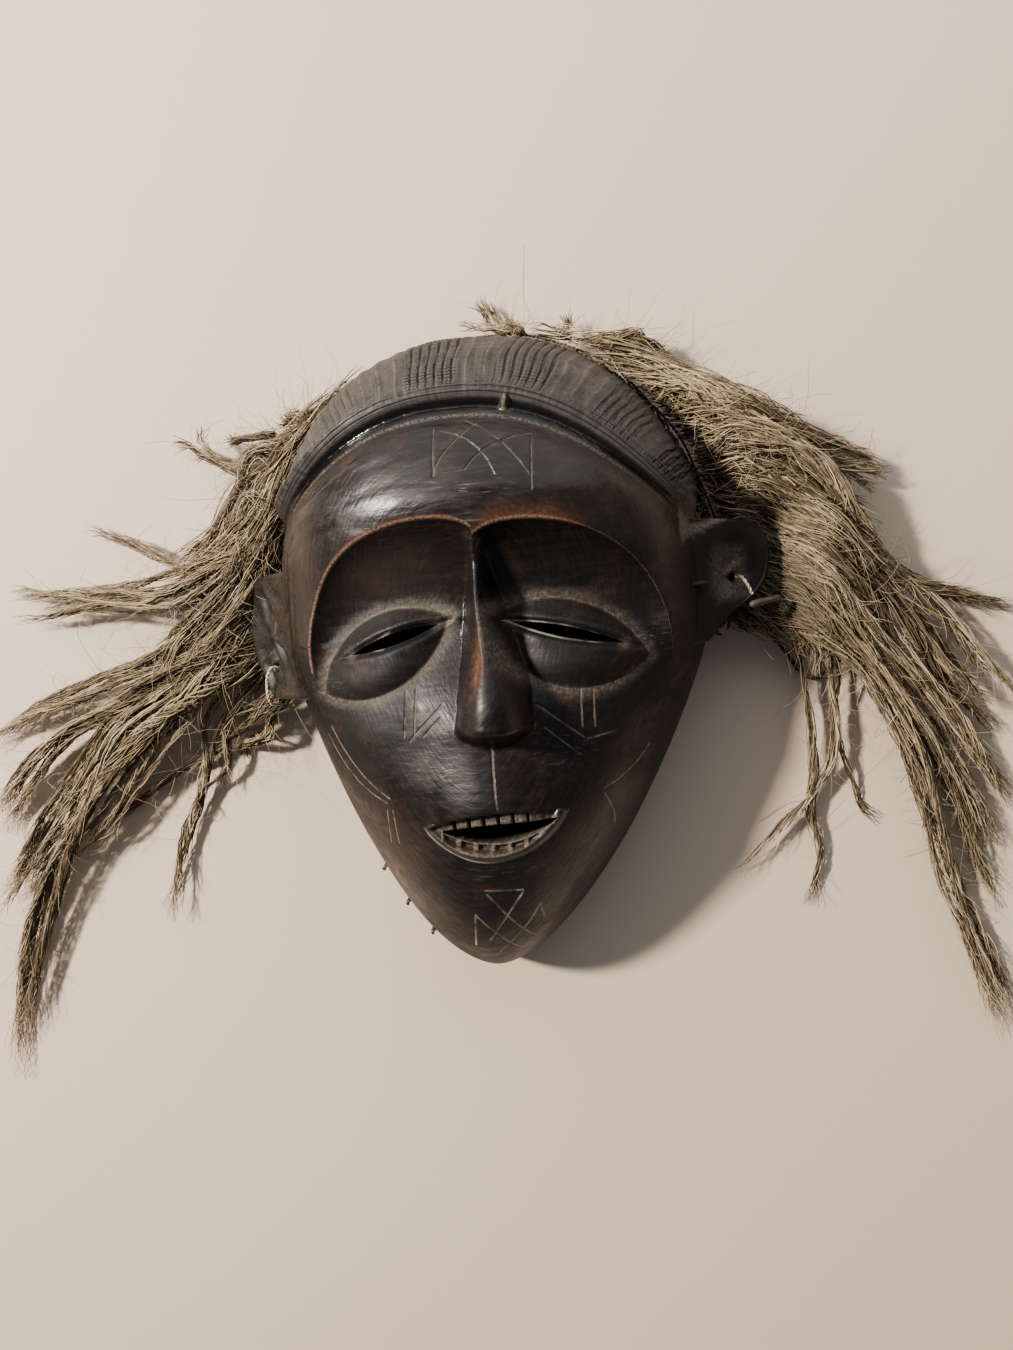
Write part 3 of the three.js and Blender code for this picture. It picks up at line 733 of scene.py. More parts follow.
def ear_blank(ear):
    """The ear in rings: its front from the middle outwards, its edge, and its back inwards again."""
    outline = ear_outline(ear)
    middle = np.array([0.5 * ear["reach"], -1.0])
    edge = np.clip(8.5 - 0.17 * np.maximum(0, outline[:, 0]), 2.4, 9) * 0.5

    def flat(share):
        return middle + share * (outline - middle)

    rings = [(flat(share), ear_front(ear, flat(share), share)) for share in EAR_RINGS]
    for turn in np.linspace(0.15, 0.85, 5) * math.pi:
        rings.append((flat(0.975 + 0.025 * math.sin(turn)), EAR_FACE - edge * (1 - math.cos(turn))))
    for share in EAR_RINGS[::-1]:
        back = 2 * edge + (EAR_THICKNESS - 2 * edge) * smooth(1, 0.55, share)
        rings.append((flat(share), EAR_FACE - back))
    rings = [np.column_stack(ring) for ring in rings]
    return skin("ear_blank", ear_place(ear, rings), ear["side"] > 0)


def prism(lens):
    """A cutter with the outline of a lens that runs straight down through the face."""
    start, end = np.array(lens["ends"], float)
    half = np.linalg.norm(end - start) / 2
    axis = (end - start) / (2 * half)
    up = np.array([-axis[1], axis[0]])
    share = np.linspace(-1, 1, 41)[:, None]
    loop = []
    for sagitta, order in ((lens["above"], share), (-lens["below"], share[::-1])):
        radius = (half**2 + sagitta**2) / (2 * abs(sagitta))
        bow = np.sign(sagitta) * (np.sqrt(radius**2 - (order * half) ** 2) - (radius - abs(sagitta)))
        loop.append(((start + end) / 2 + order * half * axis + bow * up)[:-1])
    loop = np.concatenate(loop)
    return skin("cutter", [np.column_stack([loop, np.full(len(loop), level)]) for level in CUTTER_LEVELS])


def drill(start, end, radius, sides=20):
    """A round cutter from one place to another."""
    axis = unit(np.subtract(end, start))
    side = unit(np.cross(axis, [0.3, 0.9, 0.1]))
    turns = np.linspace(0, 2 * np.pi, sides, endpoint=False)[:, None]
    ring = radius * (np.cos(turns) * side + np.sin(turns) * np.cross(axis, side))
    return skin("cutter", [start + ring, end + ring], True)


def knob(middle, radii, spin):
    """A small rounded lump that stays standing where the wood round it is cut away."""
    turns = np.linspace(0, 2 * np.pi, 24, endpoint=False)
    circle = np.stack([np.cos(turns), np.sin(turns), np.zeros(24)], -1)
    spun = np.array(Matrix.Rotation(spin, 3, "Z")).T
    rings = []
    for level in np.linspace(0.06, 0.94, 12) * np.pi:
        ring = circle * np.sin(level) + [0, 0, np.cos(level)]
        rings.append((ring * radii) @ spun + middle)
    return skin("knob", rings)


def join(pieces):
    """Several pieces made one, so that a single cut takes them all."""
    form = bmesh.new()
    for piece in pieces:
        form.from_mesh(piece.data)
    form.to_mesh(pieces[0].data)
    form.free()
    for piece in pieces[1:]:
        bpy.data.objects.remove(piece)
    return pieces[0]


def combine(piece, tool, operation):
    """Adds a tool's form to a piece or cuts it away, and takes the tool off."""
    step = piece.modifiers.new(operation, "BOOLEAN")
    step.operation = operation
    step.solver = "MANIFOLD"
    step.object = tool
    shaped = bpy.data.meshes.new_from_object(piece.evaluated_get(bpy.context.evaluated_depsgraph_get()))
    piece.modifiers.clear()
    piece.data = shaped
    bpy.data.objects.remove(tool)


mask = block()
for ear in EARS:
    combine(mask, ear_blank(ear), "UNION")
combine(mask, knob(ear_place(EARS[1], LUMP_PLACE), LUMP_RADII, LUMP_TURN), "UNION")
cutters = [prism(lens) for lens in (*SLITS, MOUTH_SLOT)]
for ear in EARS:
    ends = ear_place(ear, [(*ear["hole"], forward) for forward in (-14, 8)])
    cutters.append(drill(*ends, EAR_HOLE_RADIUS))
for degrees in LACING_TURNS:
    ends = [beside_rim(math.radians(degrees), out, LACING_HEIGHT) for out in (-24, 12)]
    cutters.append(drill(*ends, LACING_HOLE_RADIUS, 16))
combine(mask, join(cutters), "DIFFERENCE")


# Colour of the wood: black-brown stain, oiled to a satin gloss, rubbed through to red-brown on edges.
# Dust sits in the creases and strokes, and the headband is greyer and duller.
# Scuffed places have a middle, a reach each way and a strength.
SCUFFS = (
    ((3, 68), (13, 4), 1.0),
    ((4, 54), (4, 4), 0.7),
    ((-57, 3), (7, 6), 0.7),
    ((60, 13), (7, 5), 0.7),
    ((8, -64), (15, 3), 0.7),
    ((-14, -24), (16, 9), 0.35),
    ((26, -20), (12, 8), 0.4),
    ((-30, 62), (24, 9), 0.3),
)
# Painted light and shade on the stain: a strength above 0 paints it lighter where light falls, below 0
# darker where shade falls, given in the same way.
PAINTED_LIGHT_AND_SHADE = (
    ((-30, 44), (26, 12), 0.9),
    ((-35, -14), (24, 17), -1.3),
    ((34, 8), (24, 16), -0.8),
    ((4, -88), (22, 18), -0.5),
    ((70, 74), (26, 34), 1.4),
    ((44, -22), (14, 22), -0.4),
    ((-34, 12), (22, 13), -0.7),
    ((64, -14), (13, 52), -1.5),
    ((36, -92), (17, 26), -1.2),
    ((-64, -52), (16, 40), -1.35),
    ((3.5, 2), (8.5, 20), -0.9),
    ((-34, -104), (24, 18), -1.0),
)
FAR_OFF = 50


def scatter(points, pitch, seed):
    """Smooth random patches from 0 to 1, at a pitch in mm."""
    random = np.random.default_rng(seed)
    total = np.zeros(len(points))
    for _ in range(7):
        direction = unit(random.normal(size=3))
        wave = pitch * random.uniform(0.7, 1.5)
        total += np.sin(points @ direction * (2 * np.pi / wave) + random.uniform(0, 6.3))
    return np.clip(0.5 + total / 6, 0, 1)


def soft_spots(x, y, places):
    return sum(strength * mound(x, y, middle, reach) for middle, reach, strength in places)


def paint_points(piece, name, columns):
    layer = piece.data.attributes.new(name, "FLOAT_COLOR", "POINT")
    layer.data.foreach_set("color", np.column_stack(columns).astype(np.float32).ravel())


def points_of(piece):
    flat = np.empty(len(piece.data.vertices) * 3, np.float32)
    piece.data.vertices.foreach_get("co", flat)
    return (flat.reshape(-1, 3).astype(float) - [to_table_x, to_table_y, 0]) * 1000


def inside_lids(x, y):
    return by_eye(x, *[inset_in(lens, x, y) for lens in EYES])


def settled_dust(x, y, fine, broad):
    """Dust round the lids, in the corners of the slits and on the teeth."""
    near_nose = hump(x, BROW_MIDDLE_X, 22)
    dust = hump(inside_lids(x, y), -1.7, 1.3 + near_nose + 0.6 * broad)
    dust = dust * (0.3 + 0.35 * near_nose + 0.25 * fine)
    for lens in SLITS:
        for corner in lens["ends"]:
            dust = np.maximum(dust, 0.7 * mound(x, y, corner, (2, 2)))
    cuts = teeth_height(x, y)[1]
    mouth = (0.8 + 0.25 * fine) * smooth(1.4, 3, inset_in(MOUTH, x, y)) * (1 - 0.85 * cuts)
    return np.maximum(dust, mouth)


def rubbed_places(x, y, fine, broad):
    """Where handling has worn through the stain: over the brows, along the nose and in small patches."""
    over_brow = -inside_socket(x, y)
    above = np.maximum(over_brow, 0)
    left = smooth(-48, -38, x) * smooth(2, -6, x) * hump(above, 0, 1.1)
    right = smooth(3, 9, x) * smooth(46, 26, x) * hump(above, 0, 4.2)
    brow = by_eye(x, left, right) * smooth(-0.6, 0.1, over_brow) * (0.55 + 0.45 * broad)
    nose = 0.85 * mound(x, y, (3.2, 9), (2, 9))
    patches = 0.2 * smooth(0.6, 0.95, broad) * smooth(0.3, 0.7, fine)
    return np.clip(brow + nose + patches, 0, 1)


def face_edges(x, y, front, low_front):
    """Distances from the brows' edges, the lids, the slits with the lower lip, and the strokes."""
    far = FAR_OFF * (1 - front)
    over_brow = -inside_socket(x, y)
    beside_brow = far + FAR_OFF * (1 - smooth(-2, 10, y)) + 0.9 * smooth(24, 50, x)
    brow = over_brow + np.sign(over_brow) * beside_brow
    left, right = [inset_in(lens, x, y) for lens in SLITS]
    # Painted highlights: this distance lays a pale line along each slit's bevel, fading towards the outer
    # ends, and along the left of the lower lip's rim.
    slit = by_eye(x, left, 2 * right) - 1.6 * smooth(-27, -39, x) - 1.1 * smooth(30, 46, x)
    lip = 1.5 * np.abs(inside_lens(MOUTH, x, y)[1]) + 1.4 * smooth(-2, 18, x) + 1.4 * smooth(-20, -26, x)
    slit = np.where(y < -46, -0.8 - lip, slit)
    stroke = from_strokes(x, y) + FAR_OFF * (1 - low_front)
    stroke += 0.2 * smooth(55, 62, y) - 0.1 * smooth(-60, -68, y)
    return [brow, inside_lids(x, y) - far, slit - far, stroke]


def ear_dust_light_and_shade(ear, x, y, z):
    """Whether a place is on the ear; the left ear's dust and the right ear's painted light on its ridge and
    bowl; and the painted shade in the right ear's hollow.
    """
    root_x, root_y, root_z = ear["root"]
    out = ear["side"] * (x - root_x) * math.cos(ear["sweep"]) - (z - root_z) * math.sin(ear["sweep"])
    up = y - root_y
    on_ear = (ear["side"] * x > 73) & (out < 50) & (np.abs(up) < 30) & (z > 12)
    if ear["side"] < 0:
        return on_ear, 0.12, 0
    # Painted light on the right ear: the ridge across its top and its bowl, with a painted shadow edge 13.5
    # to 16.5 mm out; painted shade in the hollow by the root.
    painted_light_in_bowl = smooth(13.5, 16.5, out) * smooth(33, 28, out) * smooth(-12, -7, up) * smooth(12, 8, up)
    top = smooth(-0.6, 0.6, over_ridge(out, up)) * smooth(34, 22, out)
    hollow = smooth(-12, -6, up) * smooth(16, 14, out) * (1 - top)
    return on_ear, np.maximum(0.8 * painted_light_in_bowl, 1.3 * top), hollow


def paint_mask():
    """Every point's dust, wear, edges, scored lines and painted light and shade are painted on it for the
    wood's material.
    """
    points = points_of(mask)
    x, y, z = points.T
    turn = np.arctan2(y - WAIST_Y, x - lean(y))
    out = np.hypot(y - WAIST_Y, x - lean(y)) / rim_reach(turn)
    way = way_at(np.clip(out, 0, 1))
    over_dome = z - dome_point(turn, way)[:, 2] + socket_depth(x, y)
    outside = smooth(-8.5, -6, over_dome)
    front = smooth(30, 45, z) * outside
    fine, broad = scatter(points, 3.1, 3), scatter(points, 17, 5)
    dust = settled_dust(x, y, fine, broad) * front
    # On the ears the dust is replaced: plain dust on the left ear, painted light on the right ear's ridge
    # and bowl, and painted shade in its hollow.
    hollow = np.zeros_like(x)
    for ear in EARS:
        on_ear, ear_dust_and_painted_light, dark = ear_dust_light_and_shade(ear, x, y, z)
        dust = np.where(on_ear, 0.04 + ear_dust_and_painted_light * (0.7 + 0.5 * fine), dust)
        hollow = np.where(on_ear, dark, hollow)
    banded = band_strength(turn)
    upright, rung, over_bead = band_lines(turn, way)
    nib = hump(upright, NIB_AROUND, 1.4) * smooth(-4.8, -3.6, over_bead) * smooth(1.2, 0.2, over_bead)
    dust = np.maximum(dust, nib * banded)
    wear = rubbed_places(x, y, fine, broad) * front
    band = banded * smooth(-0.6, 0.4, over_bead)
    inside = smooth(-6, -8.5, over_dome) * (out < 0.97)
    paint_points(mask, "finish", [dust, wear, band, inside])
    paint_points(mask, "edges", face_edges(x, y, front, smooth(16, 24, z) * outside))
    scored = band * np.minimum(1.2, in_panel(turn) * 1.2) * smooth(4.8, 6.2, over_bead) * smooth(26, 34, z)
    paint_points(mask, "band_lines", [upright, rung, over_bead, scored])
    over_crease = (way - crease_way(turn)) * WAY_TO_RIM
    crease = over_crease + np.sign(over_crease) * FAR_OFF * (2 - front - banded)
    scuffs = (0.04 + soft_spots(x, y, SCUFFS)) * front
    around = np.degrees(turn) * AROUND_TO_A_DEGREE
    paint_points(mask, "lie", [around, way * WAY_TO_RIM, crease, scuffs])
    # Painted light and shade: strengths above 0 lighten the stain, and those below 0 and the right ear's
    # hollow darken it.
    tones = soft_spots(x, y, PAINTED_LIGHT_AND_SHADE)
    # Painted light: the strokes' filling is painted paler on the shaded right of the chin and jaw.
    light = shallow_strokes_and_painted_light(x, y)
    painted_shade = np.maximum(hollow - tones, 0)
    paint_points(mask, "tone", [np.maximum(tones, 0), painted_shade, light, np.ones_like(x)])


def new_material(name, roughness):
    material = bpy.data.materials.new(name)
    material.use_nodes = True
    shader = material.node_tree.nodes["Principled BSDF"]
    shader.inputs["Roughness"].default_value = roughness
    return material, material.node_tree, shader


def fill(tree, socket, source):
    """Another node's socket or a plain value put into a socket."""
    if isinstance(source, bpy.types.NodeSocket):
        tree.links.new(source, socket)
    else:
        socket.default_value = source


def node(tree, kind, **values):
    """A node whose inputs and settings are given by their names."""
    made = tree.nodes.new(kind)
    for name, value in values.items():
        if name in made.inputs:
            fill(tree, made.inputs[name], value)
        else:
            setattr(made, name, value)
    return made


def grain(tree, scale, detail, stretch=(1, 1, 1)):
    """Noise in the object's own metres, stretched along the wood or the thread."""
    place = node(tree, "ShaderNodeTexCoord").outputs["Object"]
    stretched = node(tree, "ShaderNodeMapping", Vector=place, Scale=stretch).outputs["Vector"]
    return node(tree, "ShaderNodeTexNoise", Vector=stretched, Scale=scale, Detail=detail).outputs["Fac"]


def grain_along(along, across, scale, detail):
    """Noise on a painted place, given in mm."""
    tree = along.id_data
    place = node(tree, "ShaderNodeCombineXYZ", X=along, Y=across).outputs["Vector"]
    return node(tree, "ShaderNodeTexNoise", Vector=place, Scale=scale, Detail=detail).outputs["Fac"]


def ramp(source, *stops):
    made = node(source.id_data, "ShaderNodeValToRGB", Fac=source)
    while len(made.color_ramp.elements) < len(stops):
        made.color_ramp.elements.new(0.5)
    for element, (position, color) in zip(made.color_ramp.elements, stops):
        element.position = position
        element.color = (*color, 1)
    return made.outputs["Color"]


def grey(value):
    return (value, value, value)


def blend(amount, under, over):
    """One colour laid over another by an amount."""
    tree = amount.id_data
    mix = node(tree, "ShaderNodeMix", data_type="RGBA", Factor=amount)
    inputs = [socket for socket in mix.inputs if socket.type == "RGBA"]
    for socket, source in zip(inputs, (under, over)):
        fill(tree, socket, (*source, 1) if isinstance(source, tuple) else source)
    return [socket for socket in mix.outputs if socket.type == "RGBA"][0]


def maths(operation, *values, clamp=False):
    """A sum, a product, the largest or the like of two values, or of several one after the other."""
    tree = [value.id_data for value in values if isinstance(value, bpy.types.NodeSocket)][0]
    total = values[0]
    for value in values[1:]:
        made = node(tree, "ShaderNodeMath", operation=operation, use_clamp=clamp)
        fill(tree, made.inputs[0], total)
        fill(tree, made.inputs[1], value)
        total = made.outputs["Value"]
    return total


def times(*values):
    return maths("MULTIPLY", *values)


def largest(*values):
    return maths("MAXIMUM", *values)


def without(value):
    return maths("SUBTRACT", 1, value, clamp=True)


def near(distance, middle, width):
    """1 on the line at a distance, falling to 0 at its width to either side."""
    away = maths("ABSOLUTE", maths("SUBTRACT", distance, middle), 0)
    return without(maths("DIVIDE", away, width))


def beyond(value, start, end):
    """0 up to the start and 1 from the end on."""
    ends = {"From Min": start, "From Max": end}
    return node(value.id_data, "ShaderNodeMapRange", Value=value, **ends).outputs["Result"]


def from_line(position, pitch):
    """The distance to the nearest of evenly spaced lines."""
    return maths("PINGPONG", position, pitch / 2)


def painted(tree, name):
    """The four values that were painted on the points under a name."""
    layer = node(tree, "ShaderNodeAttribute", attribute_name=name).outputs
    parts = node(tree, "ShaderNodeSeparateXYZ", Vector=layer["Vector"]).outputs
    return parts["X"], parts["Y"], parts["Z"], layer["Alpha"]


def layered(color, *layers):
    """Colours laid over one another, each by its own amount."""
    for amount, over in layers:
        color = blend(amount, color, over)
    return color


def stain_color(tree, streaks, flank, fine, speckle):
    """The stain: streaked along the carving, with painted light and painted shade in places, rubbed on the
    brows' edges.
    """
    _, wear, band, _ = painted(tree, "finish")
    brow = painted(tree, "edges")[0]
    painted_light, painted_shade = painted(tree, "tone")[:2]
    dark, middle, pale = (0.0085, 0.0068, 0.0062), (0.0150, 0.0108, 0.0092), (0.028, 0.0170, 0.0125)
    stain = ramp(grain(tree, 26, 3), (0.35, dark), (0.55, middle), (0.75, pale))
    worn = ramp(fine, (0.3, (0.070, 0.031, 0.018)), (0.7, (0.150, 0.070, 0.038)))
    rubbed = times(near(brow, 0.3, 0.8), beyond(speckle, 0.30, 0.55))
    return layered(
        stain,
        (times(beyond(streaks, 0.50, 0.66), 0.55), (0.034, 0.025, 0.021)),
        (times(beyond(streaks, 0.50, 0.36), 0.6), (0.0065, 0.0055, 0.0050)),
        (times(flank, 0.7), (0.0085, 0.0066, 0.0055)),
        # painted light: a lighter brown stain where light falls; painted shade: a near-black stain where
        # shade falls
        (times(painted_light, 0.6), (0.062, 0.044, 0.035)),
        (times(painted_shade, 0.75), (0.0068, 0.0052, 0.0048)),
        (times(wear, without(band)), worn),
        (maths("MINIMUM", rubbed, 0.9), (0.235, 0.150, 0.108)),
    )


def band_color(tree, stain):
    """The dull grey headband, lighter where light is painted, with painted shade in its hollow and scored
    lines, painted highlights beside them, pale crests, and where the cuts are.
    """
    _, wear, band, _ = painted(tree, "finish")
    upright, rung, over_bead, scored = painted(tree, "band_lines")
    crease = painted(tree, "lie")[2]
    painted_light = painted(tree, "tone")[0]
    dry = grain_along(upright, times(rung, 0.1), 0.75, 4)
    matt = ramp(dry, (0.32, (0.030, 0.0262, 0.0235)), (0.68, (0.076, 0.067, 0.059)))
    # Painted light makes the band lighter where it falls.
    matt = blend(times(painted_light, 0.5), matt, (0.105, 0.097, 0.089))
    # Painted shade: the hollow under the band, between its crease and the beads, is laid near-black.
    in_hollow = times(beyond(crease, 9, 7), beyond(crease, 0.6, 1.4), 1.6)
    cove = maths("MINIMUM", times(near(over_bead, -3.2, 3.4), in_hollow), 1.0)
    broken = beyond(grain(tree, 170, 3), 0.36, 0.56)
    beside_upright = from_line(upright, GRID_PITCH_AROUND)
    upright_line = beyond(beside_upright, 0.42, 0.14)
    rung_line = beyond(from_line(rung, GRID_PITCH_UP), 0.38, 0.12)
    lines = largest(upright_line, times(rung_line, 0.85, broken))
    grid = maths("MULTIPLY", lines, scored, clamp=True)
    fluted = times(band, beyond(over_bead, 4.8, 6.0), without(scored))
    crest = times(near(from_line(upright, FLUTE_PITCH), 0, 0.5), fluted, 0.55, broken)
    hatching = beyond(grain(tree, 700, 2, (1, 1, 0.15)), 0.56, 0.66)
    hatching = times(largest(times(rung_line, 0.5), hatching), fluted, 0.5)
    valleys = largest(near(over_bead, 1.75, 0.42), near(over_bead, 3.95, 0.55))
    # Painted shade: the grid's scored lines and the valleys between the beads are laid near-black, with
    # fine dark hatching over the flutes.
    cuts = largest(grid, hatching, times(valleys, band, 0.8))
    # Painted highlight: a pale line beside each scored upright.
    raised = times(near(beside_upright, 0.62, 0.3), scored, 0.5, broken)
    beads = largest(near(over_bead, 0.75, 0.4), near(over_bead, 2.8, 0.45))
    color = layered(
        stain,
        (band, matt),
        (times(cove, 0.85), (0.0075, 0.0066, 0.0060)),
        (crest, (0.165, 0.143, 0.122)),
        (raised, (0.150, 0.130, 0.112)),
        (times(wear, band), (0.16, 0.135, 0.105)),
        (cuts, (0.0060, 0.0050, 0.0045)),
        (times(beads, band, broken, 0.4), (0.140, 0.122, 0.104)),
    )
    return color, cuts, cove


def dust_color(tree, color, fine, speckle):
    """Dust in the creases, scuffs, the strokes' pale filling with painted light on the shaded right,
    painted highlights on the slits' edges and the lower lip's rim, and the raw inside; on the right ear the
    dust is painted light.
    """
    dust, _, _, inside = painted(tree, "finish")
    _, lid, slit, stroke = painted(tree, "edges")
    crease, scuffs = painted(tree, "lie")[2:]
    light = painted(tree, "tone")[2]
    dusty = ramp(fine, (0.3, (0.095, 0.074, 0.056)), (0.7, (0.22, 0.175, 0.130)))
    gritty = times(beyond(speckle, 0.36, 0.6), 0.85)
    lines = times(largest(near(lid, -0.6, 0.9), near(crease, -0.2, 1.05)), gritty)
    # On the right ear this dust amount is painted light, laid in the dust's colour.
    settled = largest(lines, times(dust, maths("ADD", fine, 0.3)))
    scratched = times(beyond(grain(tree, 1100, 2, (0.12, 1, 0.6)), 0.58, 0.72), scuffs, 0.5)
    filled = times(near(stroke, 0, 0.46), beyond(grain(tree, 240, 2), 0.28, 0.55))
    filled = maths("MINIMUM", filled, 0.85)
    # Painted light: a paler filling in the strokes on the shaded right.
    filling = blend(light, (0.23, 0.18, 0.14), (0.58, 0.49, 0.40))
    # Painted highlight: pale grey along the slits' bevels and the lower lip's rim.
    painted_highlight_on_edges = times(near(slit, -0.8, 0.85), beyond(grain(tree, 75, 3), 0.42, 0.56), 1.1)
    color = layered(
        color,
        (maths("MINIMUM", settled, 1.0), dusty),
        (scratched, (0.30, 0.255, 0.205)),
        (filled, filling),
        (maths("MINIMUM", painted_highlight_on_edges, 0.8), (0.36, 0.33, 0.29)),
        (times(inside, 0.75), (0.060, 0.036, 0.022)),
    )
    return color, largest(settled, filled), scratched


def dark_wood():
    material, tree, shader = new_material("dark_wood", 0.4)
    _, wear, band, inside = painted(tree, "finish")
    lid = painted(tree, "edges")[1]
    around, across = painted(tree, "lie")[:2]
    painted_shade = painted(tree, "tone")[1]
    place = node(tree, "ShaderNodeTexCoord").outputs["Object"]
    flank = beyond(node(tree, "ShaderNodeSeparateXYZ", Vector=place).outputs["Z"], 0.058, 0.02)
    fine, speckle = grain(tree, 900, 3), grain(tree, 1300, 2)
    level = grain(tree, 420, 4, (0.14, 1, 1))
    followed = grain_along(times(around, 0.1), across, 0.85, 5)
    streaks = maths("ADD", times(level, 0.5), times(followed, 0.5))
    color = stain_color(tree, streaks, flank, fine, speckle)
    color, cuts, cove = band_color(tree, color)
    color, dusty, scratched = dust_color(tree, color, fine, speckle)
    tree.links.new(color, shader.inputs["Base Color"])

    rough = ramp(grain(tree, 70, 5), (0.3, grey(0.27)), (0.7, grey(0.45)))
    duller = (
        (maths("SUBTRACT", streaks, 0.5), 0.6),
        (beyond(lid, -1, 1.5), 0.13),
        (painted_shade, 0.16),
        (band, 0.2),
        (dusty, 0.4),
        (flank, 0.1),
        (cove, -0.18),
        (wear, -0.26),
    )
    for value, amount in duller:
        rough = maths("ADD", rough, times(value, amount))
    rough = maths("ADD", rough, times(inside, 0.4), clamp=True)
    tree.links.new(rough, shader.inputs["Roughness"])
    shader.inputs["Specular IOR Level"].default_value = 0.5
    heights = ((fine, 0.22), (streaks, 1.5), (scratched, -0.8), (cuts, -1.4))
    relief = maths("ADD", *[times(value, amount) for value, amount in heights])
    marks = node(tree, "ShaderNodeBump", Height=relief, Strength=0.4, Distance=0.0004)
    tree.links.new(marks.outputs["Normal"], shader.inputs["Normal"])
    return material


def finish_piece(piece, material, node_name):
    piece.data.materials.append(material)
    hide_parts(node_name)
    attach(piece, "root")


paint_mask()
mask.data.materials.clear()
mask.data.shade_smooth()
finish_piece(mask, dark_wood(), "mask")


# The wig: yarns of khaki plant fibre, knotted into a cord net round the crown and combed out to both sides.
# Each yarn is a loose twist of fine strands. It rolls out of the net, joins a lock and frays at its end.
def bundle(rim, yarns, widths, *route, shortest=0.8, twisted=True):
    """A bundle has a stretch of rim in degrees, a count of yarns, half widths at both ends and a route."""
    return dict(rim=rim, yarns=yarns, widths=widths, route=route, shortest=shortest, twisted=twisted)


